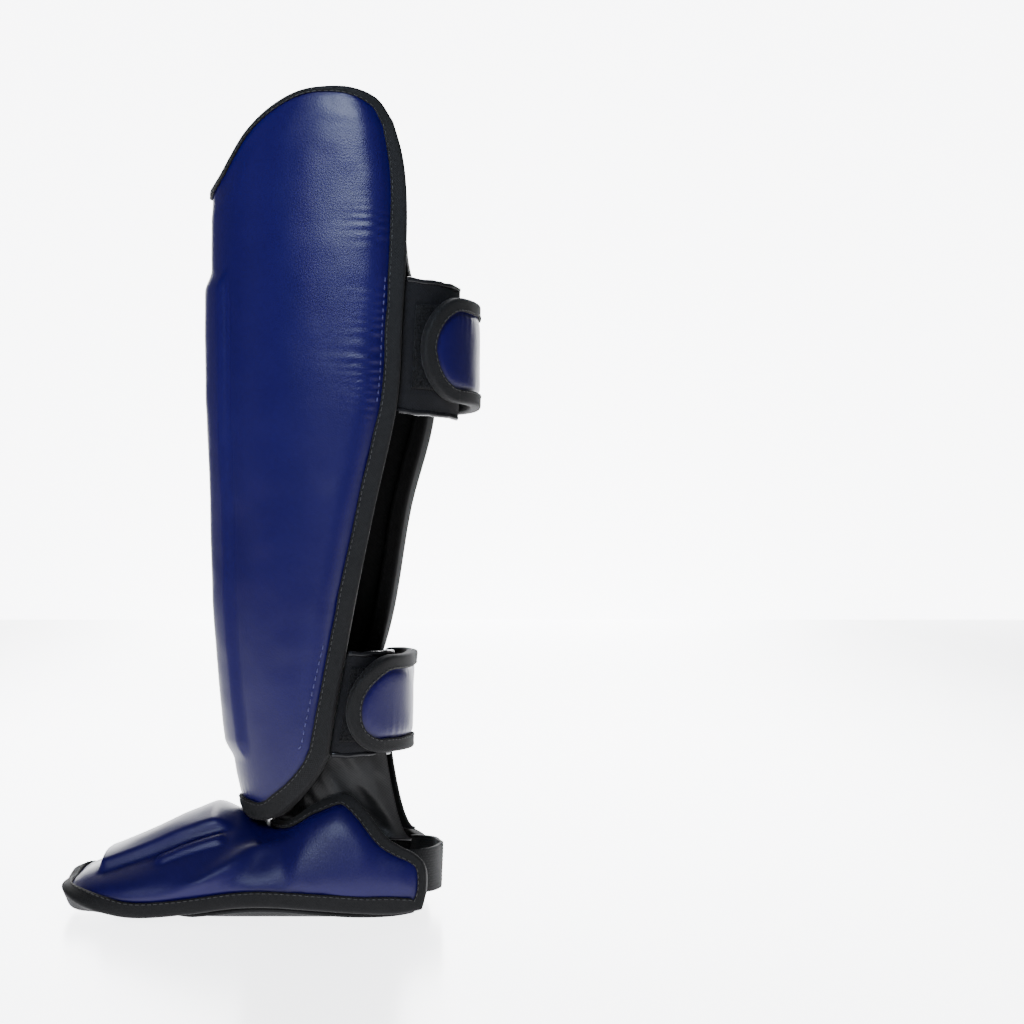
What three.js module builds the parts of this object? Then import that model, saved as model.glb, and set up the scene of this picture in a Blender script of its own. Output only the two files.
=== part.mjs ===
// A shin-and-instep guard: a padded shin shell, a padded foot shell, their linings, bound edges and straps.
// Millimetres, +Z up, toes towards -Y, the outer side of the leg towards +X, standing on its sole strap.
import * as THREE from 'three';

// Shin shell
const SHIN_LOW = 51;
const SHIN_HEIGHT = 381;
const SHIN_HALF_WIDTH = 66;
const SHIN_FRONT = -33.2;
const FRONT_SWEEP = 18;
const NOSE_RADIUS = 47;
const FRONT_PAD = 21;
const WING_PAD = 14;
const SHIN_RIM = 7;
const SHIN_PUFF = 13;
const SHIN_PAD_BLEND = 0.75;
const SHIN_HALF_GIRTH = 105;
const SHIN_COLUMNS = 18;
const SHIN_ROWS_OF_CELLS = 12;
const SHIN_BUNCHING = 0.2;

// Raised ridge down the front of the shin
const RIDGE_RISE = 3.5;
const RIDGE_HALF_WIDTH = 31;
const RIDGE_TAPER = 5;
const RIDGE_SOFT_SIDE = 8;
const RIDGE_LOW = 86;
const RIDGE_HIGH = 337;
const RIDGE_SOFT_END = 14;
const RIDGE_FRONT_SHARE = 0.7;

// Foot shell
const FOOT_TOE = -114.5;
const FOOT_LENGTH = 197;
const FOOT_HALF_WIDTH = 50;
const FOOT_CROWN = 96;
const RIM_LIFT = 10;
const INSTEP_PAD = 13;
const FLAP_PAD = 9;
const FOOT_RIM = 6;
const FOOT_PUFF = 11;
const FOOT_PAD_BLEND = 0.6;
const FOOT_HALF_GIRTH = 75;
const FOOT_COLUMNS = 21;
const FOOT_ROWS_OF_CELLS = 12;
const FOOT_BUNCHING = 0.1;
const FOOT_WEB_GAP = 0.8;

// Raised plateau on the instep
const PLATEAU_RISE = 6.5;
const PLATEAU_HALF_WIDTH = 27;
const PLATEAU_TOE = -89;
const PLATEAU_HEEL = -20;
const PLATEAU_SOFT = 7;

// Cloth, tape and the clearance between neighbours
const GAP = 0.3;
const LAYER_GAP = 0.45;
const TAPE_GAP = 0.45;
const LINING = 2;
const TAPE = 1.2;
const SHIN_TAPE_WIDTH = 8.5;
const FOOT_TAPE_WIDTH = 7.5;
const TAPE_COVER = 0.9;

// Closing straps
const PANEL_THICK = 2;
const PILE_THICK = 1.2;
const STRAP_THICK = 3;
const STRAP_CLEARANCE = 0.9;
const STRAP_TAPE_WIDTH = 6;
const STRAP_COLUMNS = 12;
const STRAP_END_CELLS = 6;
const STRAP_END_ROUND = 0.42;
const STRAP_END_STEPS = 12;
const LOOP_PULL = 1.1;
const PANEL_CELLS = [8, 4];
const PILE_CELLS = [6, 3];
const UPPER = {
  name: 'upper', panelLow: 266, panelHigh: 334, strapLow: 273, strapHigh: 325, rear: 104.5, tilt: 5,
  panelEnd: 0.3, tabStart: 0.84, pileStart: 0.9, pileEnd: 0.4, pileInset: 12,
};
const LOWER = {
  name: 'lower', panelLow: 85.5, panelHigh: 138.5, strapLow: 88, strapHigh: 136, rear: 70.5, tilt: 0,
  panelEnd: 0.3, tabStart: 0.9, pileStart: 0.93, pileEnd: 0.4, pileInset: 7,
};

// Ankle sleeve, heel strap and sole strap
const SLEEVE_THICK = 2;
const SLEEVE_LOW = 52;
const SLEEVE_HIGH = 96;
const SLEEVE_BACK = 56;
const SLEEVE_WRAP = 115;
const SLEEVE_WAIST = 14;
const SLEEVE_CELLS = [16, 4];
const HEEL_STRAP_THICK = 2;
const HEEL_STRAP_LOW = 12;
const HEEL_STRAP_HIGH = 35;
const HEEL_STRAP_REACH = 10;
const HEEL_STRAP_CELLS = [14, 2];
const SOLE_STRAP_THICK = 2;
const SOLE_STRAP_FRONT = -38;
const SOLE_STRAP_BACK = 62;
const SOLE_STRAP_HALF_WIDTH = 44;
const SOLE_FLAT_SHARE = 0.72;
const SOLE_TURN_SHARE = 0.2;
const SOLE_STRAP_CELLS = [12, 8];

// Sections of the shin shell by height: sweep, halfWidth, nose and pad are shares of FRONT_SWEEP,
// SHIN_HALF_WIDTH, NOSE_RADIUS and the pad thickness, and the wraps are degrees round from the front.
const SHIN_SECTIONS = [
  { height: 0.00, sweep: 1.00, halfWidth: 0.67, nose: 0.77, nearWrap: 78.0, farWrap: 80.0, pad: 0.58 },
  { height: 0.10, sweep: 0.70, halfWidth: 0.735, nose: 0.80, nearWrap: 81.5, farWrap: 88.0, pad: 0.64 },
  { height: 0.25, sweep: 0.33, halfWidth: 0.81, nose: 0.86, nearWrap: 89.0, farWrap: 104.0, pad: 0.85 },
  { height: 0.43, sweep: 0.17, halfWidth: 0.885, nose: 0.92, nearWrap: 95.5, farWrap: 108.0, pad: 1.00 },
  { height: 0.57, sweep: 0.06, halfWidth: 0.94, nose: 0.97, nearWrap: 101.0, farWrap: 114.0, pad: 1.00 },
  { height: 0.68, sweep: 0.02, halfWidth: 0.97, nose: 0.99, nearWrap: 100.5, farWrap: 108.0, pad: 1.00 },
  { height: 0.80, sweep: 0.00, halfWidth: 0.99, nose: 1.00, nearWrap: 100.0, farWrap: 97.5, pad: 1.00 },
  { height: 1.00, sweep: 0.00, halfWidth: 0.99, nose: 1.00, nearWrap: 100.0, farWrap: 97.0, pad: 0.90 },
];

// Edge of the shin shell on one side: wrap is the share of the wrap angle, height the share of
// SHIN_HEIGHT and tape the share of SHIN_TAPE_WIDTH that the binding covers there.
const SHIN_LOW_EDGE = [
  { wrap: 0.00, height: 0.031, tape: 1.0 },
  { wrap: 0.10, height: 0.028, tape: 1.0 },
  { wrap: 0.20, height: 0.018, tape: 1.0 },
  { wrap: 0.32, height: 0.004, tape: 1.0 },
  { wrap: 0.45, height: 0.000, tape: 1.0 },
  { wrap: 0.60, height: 0.004, tape: 1.0 },
  { wrap: 0.72, height: 0.017, tape: 1.0 },
  { wrap: 0.85, height: 0.039, tape: 1.0 },
  { wrap: 0.95, height: 0.066, tape: 1.0 },
  { wrap: 1.00, height: 0.092, tape: 1.0 },
];
const SHIN_BACK_EDGE = [
  { wrap: 1.00, height: 0.092, tape: 1.0 },
  { wrap: 1.00, height: 0.15, tape: 1.0 },
  { wrap: 1.00, height: 0.40, tape: 1.0 },
  { wrap: 1.00, height: 0.70, tape: 0.95 },
  { wrap: 1.00, height: 0.86, tape: 0.9 },
  { wrap: 0.985, height: 0.912, tape: 0.8 },
  { wrap: 0.955, height: 0.955, tape: 0.6 },
];
const SHIN_TOP_EDGE = [
  { wrap: 0.955, height: 0.955, tape: 0.6 },
  { wrap: 0.90, height: 0.985, tape: 0.45 },
  { wrap: 0.82, height: 0.998, tape: 0.38 },
  { wrap: 0.74, height: 1.000, tape: 0.36 },
  { wrap: 0.65, height: 0.996, tape: 0.36 },
  { wrap: 0.54, height: 0.978, tape: 0.36 },
  { wrap: 0.42, height: 0.948, tape: 0.36 },
  { wrap: 0.32, height: 0.915, tape: 0.4 },
  { wrap: 0.24, height: 0.893, tape: 0.4 },
  { wrap: 0.15, height: 0.880, tape: 0.4 },
  { wrap: 0.00, height: 0.874, tape: 0.4 },
];

// Arched sections of the foot shell from toe to heel: crown and rim are shares of FOOT_CROWN and
// RIM_LIFT above the floor, halfWidth of FOOT_HALF_WIDTH, farLift of RIM_LIFT and pad of the pad
// thickness. A pinch above 0 slims the flanks and one below 0 fills them.
const FOOT_SECTIONS = [
  { along: 0.00, crown: 0.15, rim: 0.70, halfWidth: 0.66, pinch: 0.0, farLift: 0.5, pad: 0.60 },
  { along: 0.07, crown: 0.235, rim: 0.60, halfWidth: 0.80, pinch: 0.0, farLift: 0.8, pad: 0.72 },
  { along: 0.13, crown: 0.30, rim: 0.45, halfWidth: 0.88, pinch: 0.0, farLift: 0.6, pad: 0.85 },
  { along: 0.26, crown: 0.42, rim: 0.24, halfWidth: 0.96, pinch: 0.05, farLift: 0.1, pad: 1.0 },
  { along: 0.38, crown: 0.525, rim: 0.42, halfWidth: 1.00, pinch: 0.14, farLift: 0.0, pad: 1.0 },
  { along: 0.48, crown: 0.57, rim: 0.60, halfWidth: 1.00, pinch: 0.20, farLift: 0.0, pad: 1.0 },
  { along: 0.55, crown: 0.548, rim: 0.68, halfWidth: 1.00, pinch: 0.15, farLift: 0.0, pad: 0.85 },
  { along: 0.62, crown: 0.58, rim: 0.72, halfWidth: 1.00, pinch: 0.00, farLift: 0.0, pad: 0.8 },
  { along: 0.70, crown: 0.72, rim: 0.70, halfWidth: 1.00, pinch: -0.20, farLift: 0.0, pad: 0.85 },
  { along: 0.79, crown: 0.84, rim: 0.58, halfWidth: 1.00, pinch: -0.28, farLift: 0.0, pad: 1.0 },
  { along: 0.89, crown: 0.87, rim: 0.60, halfWidth: 1.00, pinch: -0.18, farLift: 0.0, pad: 1.0 },
  { along: 1.00, crown: 0.93, rim: 0.72, halfWidth: 0.98, pinch: -0.10, farLift: 0.0, pad: 0.9 },
];

// Edge of the foot shell on one side, round is the share of the quarter turn from crown to rim.
const FOOT_TOE_EDGE = [
  { round: 0.00, along: 0.000, tape: 0.8 },
  { round: 0.25, along: 0.004, tape: 0.8 },
  { round: 0.50, along: 0.018, tape: 0.9 },
  { round: 0.70, along: 0.045, tape: 1.0 },
  { round: 0.85, along: 0.085, tape: 1.0 },
  { round: 0.95, along: 0.130, tape: 1.0 },
];
const FOOT_SIDE_EDGE = [
  { round: 0.95, along: 0.130, tape: 1.0 },
  { round: 1.00, along: 0.190, tape: 1.0 },
  { round: 1.00, along: 0.30, tape: 1.0 },
  { round: 1.00, along: 0.50, tape: 1.0 },
  { round: 1.00, along: 0.75, tape: 1.0 },
  { round: 1.00, along: 0.93, tape: 1.0 },
  { round: 0.985, along: 0.992, tape: 1.0 },
];
const FOOT_BACK_EDGE = [
  { round: 0.985, along: 0.992, tape: 1.0 },
  { round: 0.93, along: 1.000, tape: 1.0 },
  { round: 0.84, along: 0.998, tape: 1.0 },
  { round: 0.805, along: 0.980, tape: 1.0 },
  { round: 0.763, along: 0.930, tape: 0.9 },
  { round: 0.724, along: 0.895, tape: 0.8 },
  { round: 0.61, along: 0.840, tape: 0.8 },
  { round: 0.51, along: 0.785, tape: 0.8 },
  { round: 0.45, along: 0.705, tape: 0.8 },
  { round: 0.36, along: 0.645, tape: 0.8 },
  { round: 0.20, along: 0.607, tape: 0.8 },
  { round: 0.00, along: 0.598, tape: 0.8 },
];

const COLOURS = {
  leather: { color: 0x23277a, roughness: 0.42, metalness: 0 },
  tape: { color: 0x1d1e1e, roughness: 0.8, metalness: 0 },
  lining: { color: 0x0c0c0d, roughness: 0.95, metalness: 0 },
  pile: { color: 0x080808, roughness: 1, metalness: 0 },
  elastic: { color: 0x18191a, roughness: 0.9, metalness: 0 },
};

const group = new THREE.Group();

function addPiece(name, geometry, finish) {
  const mesh = new THREE.Mesh(geometry, new THREE.MeshStandardMaterial(COLOURS[finish]));
  mesh.name = name;
  group.add(mesh);
}

function mix(a, b, share) {
  return a + (b - a) * share;
}

function clamp01(value) {
  return Math.min(Math.max(value, 0), 1);
}

// Eases from 0 to 1 with level ends.
function ease(value) {
  const share = clamp01(value);
  return share * share * (3 - 2 * share);
}

// Eases from 0 to 1 across a line, over a width with the line in its middle.
function softStep(distance, width) {
  return ease(distance / width + 1 / 2);
}

// Smooth value of one column of a table, at a place along its first column.
function rowValue(rows, axis, column, at) {
  const last = rows.length - 1;
  let i = 0;
  while (i < last - 1 && at > rows[i + 1][axis]) i += 1;
  const a = rows[i];
  const b = rows[i + 1];
  const before = rows[Math.max(i - 1, 0)];
  const after = rows[Math.min(i + 2, last)];
  const span = b[axis] - a[axis];
  const share = clamp01((at - a[axis]) / span);
  const slopeA = ((b[column] - before[column]) / (b[axis] - before[axis])) * span;
  const slopeB = ((after[column] - a[column]) / (after[axis] - a[axis])) * span;
  const square = share * share;
  const cube = square * share;
  return (2 * cube - 3 * square + 1) * a[column] + (cube - 2 * square + share) * slopeA
    + (3 * square - 2 * cube) * b[column] + (cube - square) * slopeB;
}

// Numeric settings: the step of slopes, how a ring is kept in order, and how finely a curve is measured.
const STEP = 0.002;
const ORDER_PASSES = 12;
const LEAST_KEPT = 0.15;
const KEPT_SPREAD = 0.6;
const CURVE_DIVISIONS = 300;

function slopeAcross(surface, u, v) {
  return surface(u + STEP, v).sub(surface(u - STEP, v)).divideScalar(2 * STEP);
}

function slopeAlong(surface, u, v) {
  return surface(u, v + STEP).sub(surface(u, v - STEP)).divideScalar(2 * STEP);
}

// Unit normal of a surface, away from the leg and foot.
function outward(surface, u, v) {
  return slopeAcross(surface, u, v).cross(slopeAlong(surface, u, v)).normalize();
}

// Point at a depth under a surface.
function under(surface, u, v, depth) {
  return surface(u, v).addScaledVector(outward(surface, u, v), -depth);
}

// A share of a length moved towards its nearer end, so the cells there are shorter.
function bunchedShare(share, bunching) {
  return share - bunching * Math.sin(2 * Math.PI * share) / (2 * Math.PI);
}

// Stations along one side of an outline, closer together at its ends.
function sampleSide(points, scale, cells, bunching) {
  const flat = points.map((p) => new THREE.Vector3(p.u * scale.u, p.v * scale.v, p.tape));
  const curve = new THREE.CatmullRomCurve3(flat, false, 'centripetal');
  curve.arcLengthDivisions = CURVE_DIVISIONS;
  const stations = [];
  for (let i = 0; i <= cells; i += 1) {
    const place = curve.getPointAt(bunchedShare(i / cells, bunching));
    stations.push({ u: place.x / scale.u, v: place.y / scale.v, tape: place.z });
  }
  return stations;
}

// The closed edge of a panel, counterclockwise from its first corner: low, near, top and far sides.
function closeOutline(low, near, top, far) {
  return [...low, ...near.slice(1), ...top.slice(0, -1).reverse(), ...far.slice(1, -1).reverse()];
}

function mirrored(rows) {
  return rows.map((row) => ({ ...row, u: -row.u }));
}

// Distance from a point to a closed loop of points.
function distanceToLoop(point, loop) {
  const line = new THREE.Line3();
  const closest = new THREE.Vector3();
  let best = Infinity;
  loop.forEach((start, i) => {
    line.set(start, loop[(i + 1) % loop.length]);
    line.closestPointToPoint(point, true, closest);
    best = Math.min(best, closest.distanceTo(point));
  });
  return best;
}

// Moves a ring of places on a surface inwards by a width, and keeps its places in order at tight corners.
function insetRing(surface, ring, widths) {
  const count = ring.length;
  const out = [];
  const normals = [];
  const moved = ring.map((place, k) => {
    const next = ring[(k + 1) % count];
    const previous = ring[(k + count - 1) % count];
    const tangent = surface(next.u, next.v).sub(surface(previous.u, previous.v));
    const normal = outward(surface, place.u, place.v);
    const inwards = normal.clone().cross(tangent).normalize();
    const across = slopeAcross(surface, place.u, place.v);
    const along = slopeAlong(surface, place.u, place.v);
    const cross = across.dot(along);
    const a = inwards.dot(across) * widths[k];
    const b = inwards.dot(along) * widths[k];
    const det = across.lengthSq() * along.lengthSq() - cross * cross;
    out.push(inwards.negate());
    normals.push(normal);
    return {
      u: place.u + (a * along.lengthSq() - b * cross) / det,
      v: place.v + (b * across.lengthSq() - a * cross) / det,
    };
  });
  for (let pass = 0; pass < ORDER_PASSES; pass += 1) {
    moved.forEach((here, k) => {
      const next = moved[(k + 1) % count];
      const from = ring[k];
      const to = ring[(k + 1) % count];
      const step = surface(to.u, to.v).sub(surface(from.u, from.v));
      const kept = surface(next.u, next.v).sub(surface(here.u, here.v)).dot(step) / step.lengthSq();
      if (kept < LEAST_KEPT) {
        ['u', 'v'].forEach((key) => {
          const middle = (here[key] + next[key]) / 2;
          const half = (to[key] - from[key]) * LEAST_KEPT * KEPT_SPREAD;
          here[key] = middle - half;
          next[key] = middle + half;
        });
      }
    });
  }
  return { places: moved, out, normals };
}

// Lays out a panel on a surface: its edge stations, one or more rings inside them and a grid inside
// the last ring. The first ring is the tape's width from the edge and the second a further width.
function layOutPanel(surface, sides, tapeWidth, softWidth, bunching) {
  const columns = sides.low.length - 1;
  const rows = sides.near.length - 1;
  const edge = closeOutline(sides.low, sides.near, sides.top, sides.far);
  const count = edge.length;
  const first = insetRing(surface, edge, edge.map((station) => tapeWidth * station.tape));
  const rings = [edge, first.places];
  if (softWidth > 0) rings.push(insetRing(surface, first.places, edge.map(() => softWidth)).places);
  const boundary = rings[rings.length - 1];
  const ringIndex = (i, j) => {
    if (j === 0) return i;
    if (i === columns) return columns + j;
    if (j === rows) return columns + rows + (columns - i);
    return (2 * columns + rows + (rows - j)) % count;
  };
  const onBoundary = (i, j) => i === 0 || j === 0 || i === columns || j === rows;
  const corners = [boundary[0], boundary[columns], boundary[columns + rows], boundary[2 * columns + rows]];
  const grid = [];
  for (let i = 0; i <= columns; i += 1) {
    grid.push([]);
    for (let j = 0; j <= rows; j += 1) {
      const across = bunchedShare(i / columns, bunching);
      const along = bunchedShare(j / rows, bunching);
      const low = boundary[ringIndex(i, 0)];
      const high = boundary[ringIndex(i, rows)];
      const near = boundary[ringIndex(columns, j)];
      const far = boundary[ringIndex(0, j)];
      const inside = {};
      ['u', 'v'].forEach((key) => {
        const ruled = mix(low[key], high[key], along) + mix(far[key], near[key], across);
        const lowCorners = mix(corners[0][key], corners[1][key], across);
        const highCorners = mix(corners[3][key], corners[2][key], across);
        inside[key] = ruled - mix(lowCorners, highCorners, along);
      });
      grid[i].push(onBoundary(i, j) ? boundary[ringIndex(i, j)] : inside);
    }
  }
  const seam = rings[1].map((p) => surface(p.u, p.v));
  const distance = (p) => distanceToLoop(surface(p.u, p.v), seam);
  rings.forEach((ring, r) => ring.forEach((p) => { p.distance = r < 2 ? 0 : distance(p); }));
  grid.forEach((column, i) => column.forEach((p, j) => {
    if (!onBoundary(i, j)) p.distance = distance(p);
  }));
  const { out, normals } = first;
  return { surface, rings, grid, columns, rows, ringIndex, onBoundary, count, out, normals };
}

// Turns a list of points and faces into a closed geometry whose faces point out.
function solidFrom(points, faces) {
  const position = [];
  points.forEach((p) => position.push(p.x, p.y, p.z));
  let volume = 0;
  faces.forEach(([a, b, c]) => {
    volume += points[a].dot(points[b].clone().cross(points[c]));
  });
  const index = [];
  faces.forEach(([a, b, c]) => (volume > 0 ? index.push(a, b, c) : index.push(a, c, b)));
  const geometry = new THREE.BufferGeometry();
  geometry.setAttribute('position', new THREE.Float32BufferAttribute(position, 3));
  geometry.setIndex(index);
  geometry.computeVertexNormals();
  return geometry;
}

function addQuad(faces, a, b, c, d) {
  faces.push([a, b, c], [a, c, d]);
}

// The same quad seen from behind, split along the same diagonal so that nested layers never cross.
function addBackQuad(faces, a, b, c, d) {
  faces.push([a, c, b], [a, d, c]);
}

// A padded panel between two depths under its surface. A depth is a function of the place and of
// the distance from the seam beside the tape.
function panelSolid(panel, outerDepth, innerDepth) {
  const { surface, rings, grid, columns, rows, ringIndex, onBoundary, count } = panel;
  const points = [];
  const faces = [];
  const layers = [outerDepth, innerDepth].map((depth) => {
    const start = points.length;
    const place = (p) => under(surface, p.u, p.v, depth(p.u, p.v, p.distance));
    const layerRings = rings.map((ring) => ring.map(place));
    layerRings.forEach((ring) => points.push(...ring));
    const lastRing = start + (rings.length - 1) * count;
    const index = grid.map((column, i) => column.map((p, j) => {
      if (onBoundary(i, j)) return lastRing + ringIndex(i, j);
      points.push(place(p));
      return points.length - 1;
    }));
    return { start, rim: layerRings[0], seam: layerRings[1], index };
  });
  layers.forEach(({ start, index }, layer) => {
    const add = (a, b, c, d) => (layer === 0 ? addQuad(faces, a, b, c, d) : addBackQuad(faces, a, b, c, d));
    for (let i = 0; i < columns; i += 1) {
      for (let j = 0; j < rows; j += 1) {
        add(index[i][j], index[i + 1][j], index[i + 1][j + 1], index[i][j + 1]);
      }
    }
    for (let r = 0; r < rings.length - 1; r += 1) {
      const outerRing = start + r * count;
      const innerRing = outerRing + count;
      for (let k = 0; k < count; k += 1) {
        const next = (k + 1) % count;
        add(outerRing + k, outerRing + next, innerRing + next, innerRing + k);
      }
    }
  });
  const innerStart = layers[1].start;
  for (let k = 0; k < count; k += 1) {
    const next = (k + 1) % count;
    addQuad(faces, k, innerStart + k, innerStart + next, next);
  }
  return { geometry: solidFrom(points, faces), outer: layers[0], inner: layers[1] };
}

// Tape folded round the edge of a panel, over the outer faces of one layer and the inner faces of another.
function bindingSolid(panel, outer, inner, webGap) {
  const { count, out, normals } = panel;
  const points = [];
  const faces = [];
  const corners = 8;
  for (let k = 0; k < count; k += 1) {
    const outerTip = outer.rim[k].clone().lerp(outer.seam[k], TAPE_COVER);
    const innerTip = inner.rim[k].clone().lerp(inner.seam[k], TAPE_COVER);
    const add = (from, lift, beyond) => {
      points.push(from.clone().addScaledVector(normals[k], lift).addScaledVector(out[k], beyond));
    };
    const reach = TAPE_GAP + TAPE;
    add(outerTip, TAPE_GAP, 0);
    add(outer.rim[k], TAPE_GAP, TAPE_GAP);
    add(inner.rim[k], -TAPE_GAP, webGap);
    add(innerTip, -TAPE_GAP, 0);
    add(innerTip, -reach, 0);
    add(inner.rim[k], -reach, webGap + TAPE);
    add(outer.rim[k], reach, reach);
    add(outerTip, reach, 0);
  }
  for (let k = 0; k < count; k += 1) {
    const here = k * corners;
    const there = ((k + 1) % count) * corners;
    for (let c = 0; c < corners; c += 1) {
      const turn = (c + 1) % corners;
      if (c === 0) {
        // Split as the panel's outer face under it is, from this rim point to the next tip.
        addQuad(faces, here + turn, here + c, there + c, there + turn);
      } else {
        addQuad(faces, here + c, there + c, there + turn, here + turn);
      }
    }
  }
  return solidFrom(points, faces);
}

// A sheet of even thickness under a surface, over u and v from 0 to 1.
function sheetSolid(surface, [columns, rows], thickness) {
  const points = [];
  const faces = [];
  const across = rows + 1;
  const layerSize = (columns + 1) * across;
  [0, thickness].forEach((depth) => {
    for (let i = 0; i <= columns; i += 1) {
      for (let j = 0; j <= rows; j += 1) {
        points.push(under(surface, i / columns, j / rows, depth));
      }
    }
  });
  const at = (i, j) => i * across + j;
  for (let i = 0; i < columns; i += 1) {
    for (let j = 0; j < rows; j += 1) {
      const quad = [at(i, j), at(i + 1, j), at(i + 1, j + 1), at(i, j + 1)];
      addQuad(faces, ...quad);
      addBackQuad(faces, ...quad.map((index) => index + layerSize));
    }
  }
  for (let i = 0; i < columns; i += 1) {
    addQuad(faces, at(i, 0), at(i, 0) + layerSize, at(i + 1, 0) + layerSize, at(i + 1, 0));
    addQuad(faces, at(i + 1, rows), at(i + 1, rows) + layerSize, at(i, rows) + layerSize, at(i, rows));
  }
  for (let j = 0; j < rows; j += 1) {
    const last = at(columns, j);
    addQuad(faces, at(0, j + 1), at(0, j + 1) + layerSize, at(0, j) + layerSize, at(0, j));
    addQuad(faces, last, last + layerSize, last + 1 + layerSize, last + 1);
  }
  return solidFrom(points, faces);
}

// Shin shell

function shinRow(column, v) {
  return rowValue(SHIN_SECTIONS, 'height', column, v);
}

// Outer face of the padding before its relief: u goes round from the far edge at -1 to the near edge at 1.
function shinSurface(u, v) {
  const angle = u * THREE.MathUtils.degToRad(shinRow(u > 0 ? 'nearWrap' : 'farWrap', v));
  const halfWidth = SHIN_HALF_WIDTH * shinRow('halfWidth', v);
  const depth = halfWidth * halfWidth / (NOSE_RADIUS * shinRow('nose', v));
  const front = SHIN_FRONT + FRONT_SWEEP * shinRow('sweep', v);
  return new THREE.Vector3(
    halfWidth * Math.sin(angle),
    front + depth * (1 - Math.cos(angle)),
    SHIN_LOW + SHIN_HEIGHT * v,
  );
}

function shinPad(u, v) {
  return mix(FRONT_PAD, WING_PAD, ease(Math.abs(u) / SHIN_PAD_BLEND)) * shinRow('pad', v);
}

// Quarter-round rise of the padding from its flat bound edge.
function puff(distance, width) {
  const share = 1 - clamp01(distance / width);
  return Math.sqrt(1 - share * share);
}

function ridgeRise(u, v) {
  const place = shinSurface(u, v);
  const taper = clamp01((RIDGE_HIGH - place.z) / (RIDGE_HIGH - RIDGE_LOW));
  const halfWidth = RIDGE_HALF_WIDTH - RIDGE_TAPER * taper;
  const side = softStep(halfWidth - Math.abs(place.x), RIDGE_SOFT_SIDE);
  const low = softStep(place.z - RIDGE_LOW, RIDGE_SOFT_END);
  const high = softStep(RIDGE_HIGH - place.z, RIDGE_SOFT_END);
  const onFront = Math.abs(u) < RIDGE_FRONT_SHARE ? 1 : 0;
  return RIDGE_RISE * side * low * high * onFront;
}

function shinOuterDepth(u, v, distance) {
  const pad = shinPad(u, v);
  return pad - mix(SHIN_RIM, pad, puff(distance, SHIN_PUFF)) - (distance > 0 ? ridgeRise(u, v) : 0);
}

function edgePoints(rows, across, along) {
  return rows.map((row) => ({ u: row[across], v: row[along], tape: row.tape }));
}

// A whole end of an outline from its far corner over the middle to its near corner.
function wholeEnd(halfFromMiddle) {
  return [...mirrored(halfFromMiddle).reverse(), ...halfFromMiddle.slice(1)];
}

function shinPanel() {
  const scale = { u: SHIN_HALF_GIRTH, v: SHIN_HEIGHT };
  const low = edgePoints(SHIN_LOW_EDGE, 'wrap', 'height');
  const top = edgePoints(SHIN_TOP_EDGE, 'wrap', 'height').reverse();
  const back = edgePoints(SHIN_BACK_EDGE, 'wrap', 'height');
  const sides = {
    low: sampleSide(wholeEnd(low), scale, SHIN_COLUMNS, SHIN_BUNCHING),
    near: sampleSide(back, scale, SHIN_ROWS_OF_CELLS, SHIN_BUNCHING),
    top: sampleSide(wholeEnd(top), scale, SHIN_COLUMNS, SHIN_BUNCHING),
    far: sampleSide(mirrored(back), scale, SHIN_ROWS_OF_CELLS, SHIN_BUNCHING),
  };
  return layOutPanel(shinSurface, sides, SHIN_TAPE_WIDTH, SHIN_PUFF / 2, SHIN_BUNCHING);
}

function buildShin() {
  const panel = shinPanel();
  const shell = panelSolid(panel, shinOuterDepth, shinPad);
  const lining = panelSolid(
    panel,
    (u, v) => shinPad(u, v) + LAYER_GAP,
    (u, v) => shinPad(u, v) + LAYER_GAP + LINING,
  );
  addPiece('shin_shell', shell.geometry, 'leather');
  addPiece('shin_lining', lining.geometry, 'lining');
  addPiece('shin_binding', bindingSolid(panel, shell.outer, lining.inner, TAPE_GAP), 'tape');
}

// Foot shell

function footRow(column, v) {
  return rowValue(FOOT_SECTIONS, 'along', column, v);
}

function footCrown(v) {
  return FOOT_CROWN * footRow('crown', v);
}

function footRimHeight(v) {
  return RIM_LIFT * footRow('rim', v);
}

// Outer face of the padding before its relief: u goes from the far rim at -1 over the crown
// to the near rim at 1.
function footSurface(u, v) {
  const angle = u * Math.PI / 2;
  const sine = Math.sin(angle);
  const low = footRimHeight(v);
  const arch = Math.cos(angle) * (1 - footRow('pinch', v) * sine * sine);
  const lift = RIM_LIFT * footRow('farLift', v) * ease(-sine);
  return new THREE.Vector3(
    FOOT_HALF_WIDTH * footRow('halfWidth', v) * sine,
    FOOT_TOE + FOOT_LENGTH * v,
    low + (footCrown(v) - low) * arch + lift,
  );
}

function footPad(u, v) {
  return mix(INSTEP_PAD, FLAP_PAD, ease(Math.abs(u) / FOOT_PAD_BLEND)) * footRow('pad', v);
}

function plateauRise(u, v) {
  const place = footSurface(u, v);
  const side = softStep(PLATEAU_HALF_WIDTH - Math.abs(place.x), PLATEAU_SOFT);
  const toe = softStep(place.y - PLATEAU_TOE, PLATEAU_SOFT);
  const heel = softStep(PLATEAU_HEEL - place.y, 2 * PLATEAU_SOFT);
  return PLATEAU_RISE * side * toe * heel;
}

function footOuterDepth(u, v, distance) {
  const pad = footPad(u, v);
  return pad - mix(FOOT_RIM, pad, puff(distance, FOOT_PUFF)) - (distance > 0 ? plateauRise(u, v) : 0);
}

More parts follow.
